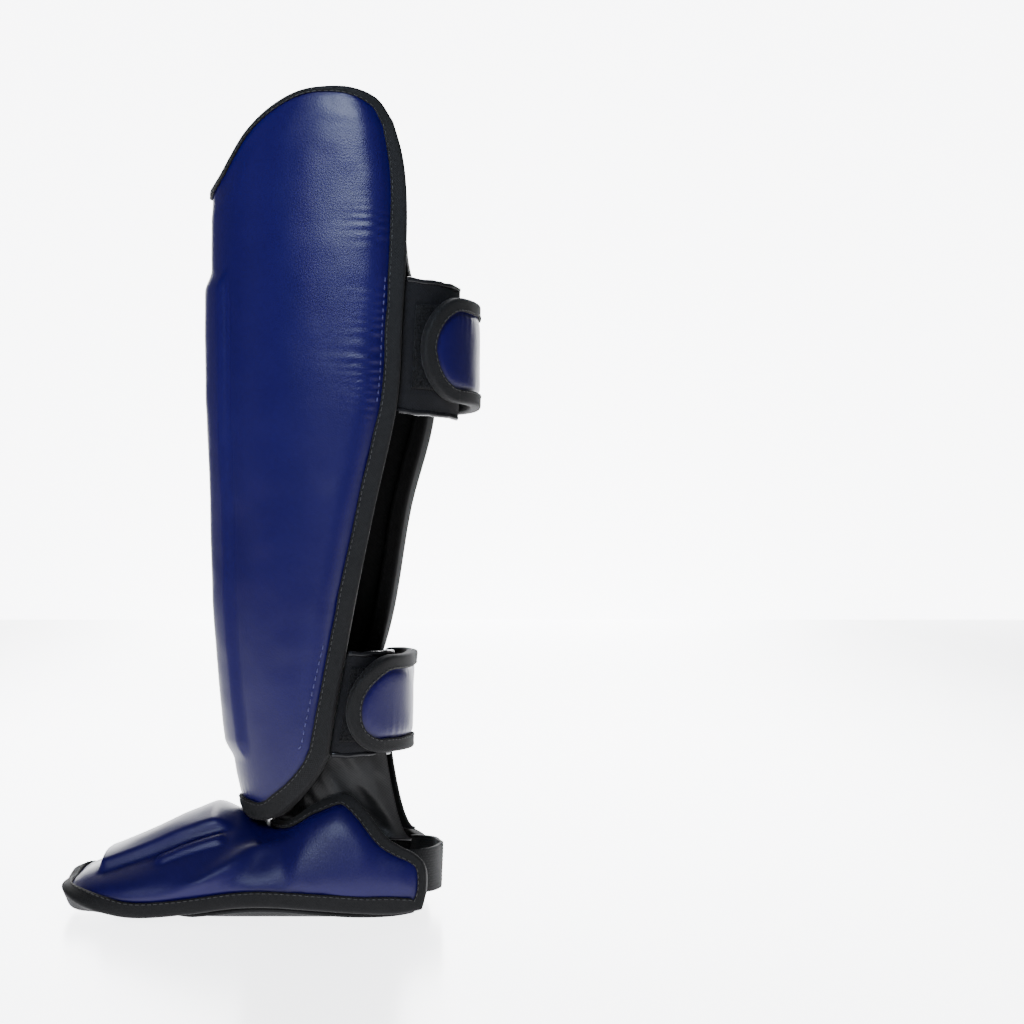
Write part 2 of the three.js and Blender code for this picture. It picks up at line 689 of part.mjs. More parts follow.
function footPanel() {
  const scale = { u: FOOT_HALF_GIRTH, v: FOOT_LENGTH };
  const toe = edgePoints(FOOT_TOE_EDGE, 'round', 'along');
  const side = edgePoints(FOOT_SIDE_EDGE, 'round', 'along');
  const back = edgePoints(FOOT_BACK_EDGE, 'round', 'along').reverse();
  const sides = {
    low: sampleSide(wholeEnd(toe), scale, FOOT_COLUMNS, FOOT_BUNCHING),
    near: sampleSide(side, scale, FOOT_ROWS_OF_CELLS, FOOT_BUNCHING),
    top: sampleSide(wholeEnd(back), scale, FOOT_COLUMNS, FOOT_BUNCHING),
    far: sampleSide(mirrored(side), scale, FOOT_ROWS_OF_CELLS, FOOT_BUNCHING),
  };
  return layOutPanel(footSurface, sides, FOOT_TAPE_WIDTH, FOOT_PUFF / 2, FOOT_BUNCHING);
}

function buildFoot() {
  const panel = footPanel();
  const shell = panelSolid(panel, footOuterDepth, footPad);
  const lining = panelSolid(
    panel,
    (u, v) => footPad(u, v) + LAYER_GAP,
    (u, v) => footPad(u, v) + LAYER_GAP + LINING,
  );
  addPiece('foot_shell', shell.geometry, 'leather');
  addPiece('foot_lining', lining.geometry, 'lining');
  addPiece('foot_binding', bindingSolid(panel, shell.outer, lining.inner, FOOT_WEB_GAP), 'tape');
}

// Straps

// Middle of the bound edge of a wing at a height, and the direction in which the wing ends.
function wingEnd(side, z) {
  const v = (z - SHIN_LOW) / SHIN_HEIGHT;
  const depth = shinPad(side, v) + (LAYER_GAP + LINING - SHIN_RIM) / 2;
  const direction = slopeAcross(shinSurface, side, v).setZ(0).multiplyScalar(side).normalize();
  const point = under(shinSurface, side, v, depth).addScaledVector(direction, TAPE_GAP + TAPE + GAP).setZ(z);
  return { point, direction };
}

// Level path from an edge round to the middle of the back, at a share from 1 at the edge to 0 at the back.
function loopPath(start, direction, rear, share) {
  const end = new THREE.Vector3(0, rear, start.z);
  const pull = start.distanceTo(end) * LOOP_PULL;
  const startPull = direction.clone().multiplyScalar(pull);
  const endPull = new THREE.Vector3(-Math.sign(start.x) * pull, 0, 0);
  const t = 1 - share;
  const square = t * t;
  const cube = square * t;
  return start.clone().multiplyScalar(2 * cube - 3 * square + 1)
    .addScaledVector(startPull, cube - 2 * square + t)
    .addScaledVector(end, 3 * square - 2 * cube)
    .addScaledVector(endPull, cube - square);
}

// Closing loop behind the leg: s goes from 1 at the near wing over 0 at the back to -1 at the far wing.
function loopPoint(strap, s, z) {
  const side = s < 0 ? -1 : 1;
  const end = wingEnd(side, z);
  return loopPath(end.point, end.direction, strap.rear, Math.abs(s));
}

// Same loop, moved out by a distance.
function loopOffset(strap, s, z, distance) {
  const ahead = loopPoint(strap, Math.max(s - STEP, -1), z);
  const forward = ahead.sub(loopPoint(strap, Math.min(s + STEP, 1), z));
  const normal = new THREE.Vector3(forward.y, -forward.x, 0).normalize();
  return loopPoint(strap, s, z).addScaledVector(normal, distance);
}

function buildLoopPanel(strap) {
  const { panelLow, panelHigh, panelEnd, pileStart, pileEnd, pileInset } = strap;
  const panelFace = (u, v) => loopOffset(
    strap,
    mix(1, panelEnd, clamp01(u)),
    mix(panelLow, panelHigh, v),
    PANEL_THICK / 2,
  );
  const pileFace = (u, v) => loopOffset(
    strap,
    mix(pileStart, pileEnd, u),
    mix(panelLow + pileInset, panelHigh - pileInset, v),
    PANEL_THICK / 2 + GAP + PILE_THICK,
  );
  addPiece(`${strap.name}_loop_panel`, sheetSolid(panelFace, PANEL_CELLS, PANEL_THICK), 'tape');
  addPiece(`${strap.name}_loop_pile`, sheetSolid(pileFace, PILE_CELLS, PILE_THICK), 'pile');
}

// Outer face of a strap: u goes from its free D-shaped end at -1 to the far wing at 1, v from 0 to 1 up.
function strapSurface(strap) {
  const lift = PANEL_THICK / 2 + GAP + PILE_THICK + STRAP_CLEARANCE + TAPE + TAPE_GAP + STRAP_THICK;
  const wing = wingEnd(-1, strap.strapLow).point;
  const farEnd = (TAPE_GAP + TAPE) / wing.distanceTo(new THREE.Vector3(0, strap.rear, wing.z)) - 1;
  return (u, v) => {
    const s = mix(strap.tabStart, farEnd, (u + 1) / 2);
    const z = mix(strap.strapLow, strap.strapHigh, v) - strap.tilt * clamp01((u + 1) / 2);
    return loopOffset(strap, s, z, lift);
  };
}

function buildStrap(strap) {
  const surface = strapSurface(strap);
  const height = strap.strapHigh - strap.strapLow;
  const length = surface(-1, 0.5).distanceTo(surface(0, 0.5)) + surface(0, 0.5).distanceTo(surface(1, 0.5));
  const scale = { u: length / 2, v: height };
  const endRound = STRAP_END_ROUND * height / scale.u;
  const straight = (v) => [{ u: -1 + endRound, v, tape: 1 }, { u: 1, v, tape: 1 }];
  const freeEnd = [];
  for (let i = 0; i <= STRAP_END_STEPS; i += 1) {
    const turn = Math.PI * i / STRAP_END_STEPS;
    freeEnd.push({ u: -1 + endRound * (1 - Math.sin(turn)), v: 0.5 - 0.5 * Math.cos(turn), tape: 1 });
  }
  const wingSide = [{ u: 1, v: 0, tape: 1 }, { u: 1, v: 1, tape: 1 }];
  const sides = {
    low: sampleSide(straight(0), scale, STRAP_COLUMNS, 0),
    near: sampleSide(wingSide, scale, STRAP_END_CELLS, 0),
    top: sampleSide(straight(1), scale, STRAP_COLUMNS, 0),
    far: sampleSide(freeEnd, scale, STRAP_END_CELLS, 0),
  };
  const panel = layOutPanel(surface, sides, STRAP_TAPE_WIDTH, 0, 0);
  const face = panelSolid(panel, () => 0, () => STRAP_THICK);
  addPiece(`${strap.name}_strap`, face.geometry, 'leather');
  addPiece(`${strap.name}_strap_binding`, bindingSolid(panel, face.outer, face.inner, TAPE_GAP), 'tape');
}

// Ankle sleeve: inside the shin lining at its top and inside the foot lining at its bottom.
function buildSleeve() {
  const linerDepth = LAYER_GAP + LINING + TAPE_GAP + TAPE + GAP;
  const topShare = (SLEEVE_HIGH - SHIN_LOW) / SHIN_HEIGHT;
  const topNose = under(shinSurface, 0, topShare, shinPad(0, topShare) + linerDepth).y;
  const topSide = under(shinSurface, 1, topShare, shinPad(1, topShare) + linerDepth).x;
  const footEnd = FOOT_TOE + FOOT_LENGTH * FOOT_BACK_EDGE[FOOT_BACK_EDGE.length - 1].along;
  const lowNose = footEnd + FOOT_RIM;
  const lowSide = topSide - SLEEVE_WAIST;
  const turn = THREE.MathUtils.degToRad(SLEEVE_WRAP);
  const surface = (u, v) => {
    const angle = mix(-turn, turn, u);
    const nose = mix(lowNose, topNose, ease(v));
    const halfWidth = mix(lowSide, topSide, v * v);
    const depth = (SLEEVE_BACK - nose) / (1 - Math.cos(turn));
    return new THREE.Vector3(
      halfWidth * Math.sin(angle),
      nose + depth * (1 - Math.cos(angle)),
      mix(SLEEVE_LOW, SLEEVE_HIGH, v),
    );
  };
  addPiece('ankle_sleeve', sheetSolid(surface, SLEEVE_CELLS, SLEEVE_THICK), 'lining');
}

// Heel strap, from the back edge of one ankle flap round to the other.
function buildHeelStrap() {
  const rear = FOOT_TOE + FOOT_LENGTH + HEEL_STRAP_REACH;
  const flapEnd = (side, z) => {
    const low = footRimHeight(1);
    const round = Math.acos((z - low) / (footCrown(1) - low)) / (Math.PI / 2);
    const depth = footPad(round, 1) + (LAYER_GAP + LINING - FOOT_RIM) / 2;
    const point = under(footSurface, side * round, 1, depth);
    return new THREE.Vector3(point.x, FOOT_TOE + FOOT_LENGTH + TAPE_GAP + TAPE + GAP, z);
  };
  const surface = (u, v) => {
    const s = mix(1, -1, u);
    const side = s < 0 ? -1 : 1;
    const z = mix(HEEL_STRAP_LOW, HEEL_STRAP_HIGH, v);
    const start = flapEnd(side, z);
    return loopPath(start, new THREE.Vector3(0, 1, 0), rear, Math.min(Math.abs(s), 1));
  };
  addPiece('heel_strap', sheetSolid(surface, HEEL_STRAP_CELLS, HEEL_STRAP_THICK), 'elastic');
}

// Sole strap: flat on the floor, turned up under the bound rims at both sides.
function buildSoleStrap() {
  const surface = (u, v) => {
    const across = mix(-1, 1, u);
    const y = mix(SOLE_STRAP_FRONT, SOLE_STRAP_BACK, v);
    const rimUnderside = footRimHeight((y - FOOT_TOE) / FOOT_LENGTH) - TAPE_GAP - TAPE - 2 * GAP;
    const turned = ease((Math.abs(across) - SOLE_FLAT_SHARE) / SOLE_TURN_SHARE);
    const lift = turned * (rimUnderside - SOLE_STRAP_THICK);
    return new THREE.Vector3(SOLE_STRAP_HALF_WIDTH * across, y, SOLE_STRAP_THICK + lift);
  };
  addPiece('sole_strap', sheetSolid(surface, SOLE_STRAP_CELLS, SOLE_STRAP_THICK), 'elastic');
}

buildShin();
buildFoot();
[UPPER, LOWER].forEach((strap) => {
  buildLoopPanel(strap);
  buildStrap(strap);
});
buildSleeve();
buildHeelStrap();
buildSoleStrap();

// The origin is the middle of the underside.
group.updateMatrixWorld(true);
const extent = new THREE.Box3().setFromObject(group, true);
const middle = extent.getCenter(new THREE.Vector3());
group.position.set(-middle.x, -middle.y, -extent.min.z);

export default group;
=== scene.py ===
import math

import bpy
import numpy as np
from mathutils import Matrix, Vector


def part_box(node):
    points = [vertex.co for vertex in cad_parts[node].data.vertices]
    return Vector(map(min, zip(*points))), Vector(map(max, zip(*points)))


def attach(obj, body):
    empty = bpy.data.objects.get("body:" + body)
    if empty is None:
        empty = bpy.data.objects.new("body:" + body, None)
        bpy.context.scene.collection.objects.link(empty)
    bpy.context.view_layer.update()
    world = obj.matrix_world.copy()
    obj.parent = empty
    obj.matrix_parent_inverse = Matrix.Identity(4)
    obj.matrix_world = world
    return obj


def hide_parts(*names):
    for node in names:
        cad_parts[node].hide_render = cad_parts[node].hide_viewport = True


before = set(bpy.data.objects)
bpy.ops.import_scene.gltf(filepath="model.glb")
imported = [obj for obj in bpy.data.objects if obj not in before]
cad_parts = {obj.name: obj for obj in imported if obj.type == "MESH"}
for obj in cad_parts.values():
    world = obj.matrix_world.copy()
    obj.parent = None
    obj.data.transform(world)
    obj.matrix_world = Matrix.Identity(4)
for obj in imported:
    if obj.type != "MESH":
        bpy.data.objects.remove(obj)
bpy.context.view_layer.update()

# A shin-and-instep guard in blue synthetic leather with black bound edges, standing on its sole strap.
# Lengths are in millimetres until a mesh is made. Toes point to -Y, the near side of the leg to +X.
MM = 0.001

# Step along a surface when its direction is measured, as a share of the whole
STEP = 0.002

# Shin shell: the girth is half of the way round, in front of the bound edge
SHIN_LOW = 51
SHIN_HEIGHT = 381
SHIN_HALF_WIDTH = 66
SHIN_HALF_GIRTH = 105
SHIN_FRONT = -33.2
FRONT_SWEEP = 18
NOSE_RADIUS = 47
FRONT_PAD = 21
WING_PAD = 14
SHIN_PAD_BLEND = 0.75
SHIN_RIM = 7
SHIN_PUFF = 13
SHIN_GRID = (112, 296)

# Thinner padding beside the shin's top and low edges, and where it ends as shares of the way round
EDGE_THINNING = 28
EDGE_THICKNESS = SHIN_RIM + 1
TOP_THINNING_END = 0.96
TOP_THINNING_FADE = 0.14
LOW_THINNING_END = 0.80
LOW_THINNING_FADE = 0.25

# Raised ridge down the front of the shin
RIDGE_RISE = 3.5
RIDGE_HALF_WIDTH = 31
RIDGE_TAPER = 5
RIDGE_SOFT_SIDE = 4.5
RIDGE_LOW = 86
RIDGE_HIGH = 337
RIDGE_SOFT_END = 12
RIDGE_FRONT_SHARE = 0.7

# Foot shell
FOOT_TOE = -114.5
FOOT_LENGTH = 197
FOOT_HALF_WIDTH = 50
FOOT_HALF_GIRTH = 75
FOOT_CROWN = 96
RIM_LIFT = 10
INSTEP_PAD = 13
FLAP_PAD = 9
FOOT_PAD_BLEND = 0.6
FOOT_RIM = 6
FOOT_PUFF = 11
FOOT_GRID = (130, 110)

# The far ankle flap reaches further back than the near one, by shares of the foot's length and girth.
FAR_FLAP_REACH = 0.055
FAR_FLAP_MIDDLE = 0.63
FAR_FLAP_SPREAD = 0.13

# Raised plateau on the instep
PLATEAU_RISE = 5.5
PLATEAU_HALF_WIDTH = 25
PLATEAU_TOE = -89
PLATEAU_HEEL = -23
PLATEAU_SOFT = 6

# Short raised bar beside the plateau
BAR_TOE = -58
BAR_HEEL = -24
BAR_TOE_SIDE = 32.5
BAR_HEEL_SIDE = 31.0
BAR_RISE = 1.8
BAR_HALF_WIDTH = 2.4
BAR_SOFT = 3.4
BAR_SOFT_END = 5

# Crease in front of the ankle, the roll of padding before it and the dome over the ankle bone
FLANK_START = 0.3
FLANK_END = 0.78
FLANK_FADE = 0.2
CREASE_Y = 9
CREASE_WIDTH = 5
CREASE_DEPTH = 0.5
ROLL_Y = -2
ROLL_Z = 38
ROLL_LEAN = 1.65
ROLL_WIDTH = 9
ROLL_MIDDLE_Z = 27
ROLL_HALF_HEIGHT = 12
ROLL_SOFT = 9
ROLL_RISE = 2.2
DOME_Y = 34
DOME_Z = 31
DOME_SQUASH = 0.85
DOME_RADIUS = 21
DOME_SOFT = 11
DOME_START = 0.2
DOME_RISE = 1.0

# Gathers beside the seams: they are deepest along the shin's upper back edges.
PUCKER_SIZE = 4.6
PUCKER_DEPTH = 0.75
PUCKER_REACH = 8.0
PUCKER_DRIFT = 0.7
PUCKER_MEAN = 0.55
PUCKER_SPREAD = 0.8
PUCKER_ROUGHNESS = 0.4
PUCKER_REACH_SPREAD = 0.6
PUCKER_SEAM = 1.5
DEEP_GATHER_HEIGHT = 0.73
DEEP_GATHER_HALF_HEIGHT = 0.16
DEEP_GATHER_SOFT = 0.08
DEEP_GATHER_START = 0.7
DEEP_GATHER_FADE = 0.15
DEEP_GATHER = 1.0
SLIGHT_GATHER = 0.2

# Unevenness of the soft parts, each kind as its height and the size of its swells
COVER_LUMPS = (0.45, 34)
COVER_DIMPLES = (0.16, 11)
COVER_LUMP_FADE = 8
SEAM_FADE = 2
LINING_RIPPLE = (0.35, 18)
TAPE_WAVER = (0.35, 14)
TAPE_LIFT_WAVER = (0.12, 9)
PANEL_RIPPLE = (0.25, 12)
PILE_TUFTS = (0.35, 8)
PILE_FUZZ = (0.3, 4)
PIPING_WAVER = (0.35, 12)
PIPING_SWELL = (0.08, 5)
STRAP_LUMPS = (0.25, 16)
STRAP_LUMP_FADE = 4
SLEEVE_FOLDS = (1.7, 9)
SLEEVE_CREASES = (1.5, 6)
HEEL_STRAP_SAG = (1.1, 12)

# Cloth and tape
LAYER_GAP = 0.45
TAPE_GAP = 0.45
GAP = 0.3
LINING = 2
TAPE = 1.2
SHIN_TAPE_WIDTH = 8.5
FOOT_TAPE_WIDTH = 7.5
FOOT_WEB_GAP = 0.8
TAPE_COVER = 0.95
TAPE_FACE_SHARES = (1.0, 0.85, 0.5, 0.2)
TAPE_BACK_SHARES = (0.4, 0.8, 1.0)
TAPE_FOLD_STEPS = 5

# Edges of panels: points for each cell of the grid, the spacing of the even edge, and how many
# points each way its direction is measured over
EDGE_DETAIL = 4
EDGE_SPACING = 1.25
EDGE_REACH = 3
CURVE_STEPS = 40
MEASURE_BATCH = 4000

# Stitches, with their arch as shares of the length and of the thread's radius
STITCH_SHAPE = ((0.0, -0.5), (0.12, 0.45), (0.5, 0.75), (0.88, 0.45), (1.0, -0.5))
STITCH_CORNERS = 6
TAPE_STITCH = {"length": 2.0, "pitch": 3.2, "radius": 0.22}
PANEL_STITCH = {"length": 2.4, "pitch": 4.2, "radius": 0.36}

# Closing straps. The ends and starts are shares of the way from the middle of the back to a wing.
PANEL_THICK = 2
PILE_THICK = 1.2
STRAP_THICK = 3
STRAP_CLEARANCE = 0.9
STRAP_TAPE_WIDTH = 6
STRAP_END_ROUND = 0.42
STRAP_END_POINTS = 13
STRAP_RISE = 1.1
STRAP_PUFF = 7
STRAP_GATHER = {"size": 5, "depth": 0.22, "reach": 4}
STRAP_GRID = (110, 46)
LOOP_PULL = 1.1
UPPER = {
    "name": "upper", "seed": 80, "rear": 102.5, "tilt": 5, "panel_tilt": 3,
    "panel_low": 266, "panel_high": 334, "strap_low": 273, "strap_high": 325, "panel_end": 0.3,
    "tab_start": 0.84, "pile_start": 0.9, "pile_end": 0.4, "pile_inset": 12,
}
LOWER = {
    "name": "lower", "seed": 90, "rear": 66.5, "tilt": 0, "panel_tilt": 0,
    "panel_low": 85.5, "panel_high": 138.5, "strap_low": 88, "strap_high": 136, "panel_end": 0.3,
    "tab_start": 0.9, "pile_start": 0.93, "pile_end": 0.4, "pile_inset": 7,
}

# Seams of the panels on the shin's cover: two heights, and the inset from the tape at each of them.
# A wing's back edge lies beyond a share of the way round.
WING_EDGE = 0.97
PANEL_SEAMS = ((266, 337, 1.2, 1.2), (78, 143, 5.0, 2.0))

# Panel with its turned border, its fuzzy patch and its rolled edges
PANEL_GRID = (60, 70)
PANEL_MEASURE_START = 0.99
PANEL_BORDER_RISE = 0.25
PANEL_BORDER_OVERLAP = 2.5
PANEL_BORDER_SOFT = 1.2
PANEL_EDGE_FADE = 3
PILE_GRID = (110, 110)
PILE_SPAN = (30, 40)
PILE_GRAIN = (300, 10)
PILE_EDGE_SHARE = 0.45
PILE_PUFF = 1.5
PIPING_RADIUS = 1.5
PIPING_LIFT = 0.6
PIPING_START = 0.985
PIPING_END = 0.02
PIPING_SPAN = 100
PIPING_STEPS = 70
PIPING_CORNERS = 12

# Ankle sleeve
SLEEVE_THICK = 2
SLEEVE_LOW = 40
SLEEVE_HIGH = 96
SLEEVE_BACK = 61
SLEEVE_BACK_LOW = 76
SLEEVE_WRAP = 115
SLEEVE_WAIST = 5
SLEEVE_TUCK = 10
SLEEVE_TUCK_Z = 50
SLEEVE_TUCK_SPREAD = 4.5
SLEEVE_GRID = (170, 80)
SLEEVE_MEASURE_ROW = 25
FOLD_PINCH = 0.9
FOLD_SLANT = 0.6
FOLD_STRETCH = 0.3
FOLD_FADE_ROUND = 20
FOLD_FADE_UP = 8

# Heel elastic
HEEL_STRAP_THICK = 2
HEEL_STRAP_LOW = 12
HEEL_STRAP_HIGH = 35
HEEL_STRAP_REAR = 91.5
HEEL_SEWN_SHARE = 0.955
HEEL_STRAP_GRID = (120, 26)
HEEL_MEASURE_ROW = 10
HEEL_RIBS = 11
HEEL_RIB_DEPTH = 0.14
HEEL_SAG_STRETCH = 0.3

# Sole elastic
SOLE_STRAP_THICK = 2
SOLE_STRAP_FRONT = -38
SOLE_STRAP_BACK = 62
SOLE_STRAP_HALF_WIDTH = 45
SOLE_SPREAD = 15
SOLE_END_TAPER = 5
SOLE_END_RISE = 2.5
SOLE_END_POWER = 6
SOLE_FLAT_SHARE = 0.82
SOLE_TURN_SHARE = 0.14
SOLE_STRAP_GRID = (60, 120)
SOLE_RIBS = 40
SOLE_RIB_DEPTH = 0.12

# Seeds of the unevenness
SHIN_COVER_SEED = 11
SHIN_LINING_SEED = 21
SHIN_TAPE_SEED = 31
FOOT_COVER_SEED = 41
FOOT_LINING_SEED = 51
FOOT_TAPE_SEED = 61
PANEL_SEED = 71
SLEEVE_SEED = 101
HEEL_STRAP_SEED = 111
PIPING_SEED = 120

# Colours, from the dark between threads or grains to the light on them
GAP_BLACK = (0.0015, 0.0015, 0.0017)
CLOTH_GAP_BLACK = (0.0012, 0.0012, 0.0014)
TAPE_BLACK = (0.008, 0.008, 0.0085)
LINING_BLACK = (0.006, 0.006, 0.0065)
PANEL_BLACK = (0.0045, 0.0045, 0.0075)
ANKLE_BLACK = (0.004, 0.004, 0.0042)
ELASTIC_BLACK = (0.007, 0.007, 0.0075)
PILE_GAP_BLACK = (0.0008, 0.0008, 0.0009)
VINYL_BLACK = (0.004, 0.004, 0.0045)
VINYL_SHINE_BLACK = (0.008, 0.008, 0.009)
DEEP_BLUE = (0.0023, 0.0009, 0.030)
FACE_BLUE = (0.0036, 0.0016, 0.044)
THREAD_BLUE = (0.012, 0.012, 0.075)
STUDIO_WHITE = (0.97, 0.975, 1.0)
STUDIO_PAINT = (0.8, 0.8, 0.8)

# Leather, cloth and pile: threads, grain and depths are in millimetres
LEATHER_SPECULAR = 0.16
LEATHER_BUMP = 0.3
PEBBLE_SIZE = 0.8
PEBBLE_CREASE = 0.9
PEBBLE_DEPTH = 0.16
ROUGHNESS_SPREAD = 0.16
CLOTH_SPECULAR = 0.15
CLOTH_SHEEN_ROUGHNESS = 0.5
CLOTH_BUMP = 0.6
PILE_ROUGHNESS = 0.95
PILE_SHEEN = 0.01
PILE_BUMP = 1.0
PILE_DEPTH = 0.6

# Studio, in metres
STUDIO_BACK = -4.0
STUDIO_FRONT = 5.0
STUDIO_SIDE = 5.0
FLOOR_GLOW = 3.8
FLOOR_GLOW_ENDS = (0.36, 0.5)
FLOOR_GLOW_SIDE_ENDS = (0.3, 0.95)
FLOOR_ROUGHNESS = 0.2
BACKDROP_GLOW = 7.5
BACKDROP_LOW = -0.1
BACKDROP_TOP = 2.6
BACKDROP_LEFT = -1.6
BACKDROP_RIGHT = 1.9
WORLD_GLOW = 0.16
CAMERA_PLACE = (1500.0, 129.0, 213.0)
CAMERA_LENS = 97.7
CAMERA_SENSOR = 36

# Lights: places, targets and sizes are in metres, powers in watts and spreads in degrees.
LIGHTS = (
    {"name": "key", "place": (0.78, -0.15, 0.66), "target": (0.05, 0.0, 0.41), "size": (0.42, 0.35),
     "power": 1.9, "colour": (0.72, 0.84, 1.0), "spread": 54},
    {"name": "low", "place": (1.0, -0.35, 0.4), "target": (0, -0.03, 0.03), "size": (0.9, 0.9),
     "power": 0.65, "colour": (0.85, 0.92, 1.0), "spread": 40},
    {"name": "overhead", "place": (-1.1, -0.1, 1.3), "target": (0, -0.05, 0.1), "size": (1.0, 0.9),
     "power": 42},
    {"name": "front", "place": (0.35, -1.3, 0.35), "target": (0, 0, 0.22), "size": (0.25, 0.7),
     "power": 0.35},
    {"name": "fill", "place": (1.2, 1.2, 0.5), "target": (0, 0, 0.2), "size": (1.0, 1.0), "power": 0.7},
)


def table(columns, *rows):
    """A table with named columns, as one array for each column."""
    return {name: np.array([row[k] for row in rows], float) for k, name in enumerate(columns.split())}


# Sections of the shin shell by height: wraps are degrees round from the front, the rest are shares.
SHIN_SECTIONS = table(
    "height sweep half_width nose near_wrap far_wrap pad",
    (0.00, 0.95, 0.67, 0.77, 78.0, 80.0, 0.58),
    (0.10, 0.62, 0.735, 0.80, 81.5, 88.0, 0.64),
    (0.25, 0.30, 0.81, 0.86, 89.0, 104.0, 0.85),
    (0.43, 0.17, 0.885, 0.92, 95.5, 108.0, 1.00),
    (0.57, 0.06, 0.94, 0.97, 101.0, 114.0, 1.00),
    (0.68, 0.02, 0.97, 0.99, 100.5, 108.0, 1.00),
    (0.80, 0.00, 0.99, 1.00, 100.0, 97.5, 1.00),
    (1.00, 0.00, 0.99, 1.00, 100.0, 97.0, 0.90),
)

# Edge of the shin shell on one side, and the share of the tape's width that shows there.
SHIN_LOW_EDGE = table(
    "u v tape",
    (0.00, 0.016, 0.5), (0.10, 0.014, 0.6), (0.20, 0.009, 0.8), (0.32, 0.002, 1.0), (0.45, 0.000, 1.0),
    (0.60, 0.004, 1.0), (0.72, 0.017, 1.0), (0.85, 0.039, 1.0), (0.95, 0.066, 1.0), (1.00, 0.092, 1.0),
)
SHIN_BACK_EDGE = table(
    "u v tape",
    (1.00, 0.092, 1.0), (1.00, 0.15, 1.0), (1.00, 0.40, 1.0), (1.00, 0.70, 0.95), (1.00, 0.86, 0.9),
    (0.985, 0.912, 0.8), (0.955, 0.955, 0.6),
)
SHIN_TOP_EDGE = table(
    "u v tape",
    (0.00, 0.874, 0.3), (0.15, 0.880, 0.25), (0.24, 0.893, 0.2), (0.32, 0.915, 0.15), (0.42, 0.948, 0.12),
    (0.54, 0.978, 0.12), (0.65, 0.996, 0.12), (0.74, 1.000, 0.16), (0.82, 0.998, 0.25),
    (0.90, 0.985, 0.4), (0.955, 0.955, 0.6),
)

# Arched sections of the foot shell from toe to heel, as shares.
FOOT_SECTIONS = table(
    "along crown rim half_width pinch far_lift pad",
    (0.00, 0.15, 0.55, 0.66, 0.0, 0.4, 0.60),
    (0.07, 0.215, 0.42, 0.80, 0.0, 0.6, 0.72),
    (0.13, 0.272, 0.32, 0.88, 0.0, 0.5, 0.85),
    (0.26, 0.388, 0.20, 0.96, 0.05, 0.1, 1.0),
    (0.38, 0.498, 0.42, 1.00, 0.14, 0.0, 1.0),
    (0.48, 0.56, 0.68, 1.00, 0.20, 0.0, 1.0),
    (0.55, 0.515, 0.78, 1.00, 0.15, 0.0, 0.85),
    (0.62, 0.565, 0.76, 1.00, 0.00, 0.0, 0.8),
    (0.70, 0.72, 0.64, 1.00, -0.20, 0.0, 0.85),
    (0.79, 0.84, 0.50, 1.00, -0.28, 0.0, 1.0),
    (0.89, 0.87, 0.45, 1.00, -0.18, 0.0, 1.0),
    (1.00, 0.93, 0.42, 0.98, -0.10, 0.0, 0.9),
)
FOOT_TOE_EDGE = table(
    "u v tape",
    (0.00, 0.020, 0.6), (0.25, 0.022, 0.6), (0.50, 0.032, 0.7), (0.70, 0.052, 0.8), (0.85, 0.085, 0.9),
    (0.95, 0.130, 1.0),
)
FOOT_SIDE_EDGE = table(
    "u v tape",
    (0.95, 0.130, 1.0), (1.00, 0.190, 1.0), (1.00, 0.30, 1.0), (1.00, 0.50, 1.0), (1.00, 0.75, 1.0),
    (1.00, 0.93, 1.0), (0.985, 0.992, 0.7),
)
FOOT_BACK_EDGE = table(
    "u v tape",
    (0.00, 0.598, 0.8), (0.20, 0.607, 0.8), (0.36, 0.645, 0.8), (0.45, 0.705, 0.8), (0.51, 0.785, 0.8),
    (0.61, 0.840, 0.7), (0.724, 0.895, 0.65), (0.763, 0.930, 0.6), (0.805, 0.980, 0.5),
    (0.84, 0.998, 0.45), (0.93, 1.000, 0.45), (0.985, 0.992, 0.7),
)

FAR_FLAP_EDGE = dict(FOOT_BACK_EDGE)
FAR_FLAP_EDGE["v"] = FOOT_BACK_EDGE["v"] + FAR_FLAP_REACH * np.exp(
    -((FOOT_BACK_EDGE["u"] - FAR_FLAP_MIDDLE) / FAR_FLAP_SPREAD) ** 2)
SHIN_SCALE = (SHIN_HALF_GIRTH, SHIN_HEIGHT)
FOOT_SCALE = (FOOT_HALF_GIRTH, FOOT_LENGTH)

# The frame's origin is the middle of the whole part, and the sole strap says how far that moved it.
sole_low, sole_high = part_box("sole_strap")
SHIFT = np.array([
    (sole_low.x + sole_high.x) / 2 / MM,
    (sole_low.y + sole_high.y) / 2 / MM - (SOLE_STRAP_FRONT + SOLE_STRAP_BACK) / 2,
    0.0,
])


def mix(a, b, share):
    return a + (b - a) * share


def clamp01(value):
    return np.clip(value, 0.0, 1.0)


def ease(value):
    """Eases from 0 to 1 with level ends."""
    share = clamp01(value)
    return share * share * (3 - 2 * share)


def soft_side(distance, soft):
    """0 on one side of a line and 1 on its other side, eased over soft."""
    return ease(distance / soft + 0.5)


def soft_band(distance, half_width, soft):
    """1 within a band and eased to 0 on both sides of it."""
    return soft_side(half_width - np.abs(distance), soft)


def unit(vectors):
    return vectors / np.maximum(np.linalg.norm(vectors, axis=-1, keepdims=True), 1e-9)


def as_arrays(*values):
    """Values as arrays of numbers of one shape."""
    return np.broadcast_arrays(*(np.asarray(value, float) for value in values))


def dot(a, b):
    return (a * b).sum(-1, keepdims=True)


def curve_between(a, slope_a, b, slope_b, t, span=1.0):
    """Smooth curve over a span from a to b, with its slopes at both ends."""
    return ((2 * t**3 - 3 * t**2 + 1) * a + (t**3 - 2 * t**2 + t) * slope_a * span
            + (3 * t**2 - 2 * t**3) * b + (t**3 - t**2) * slope_b * span)


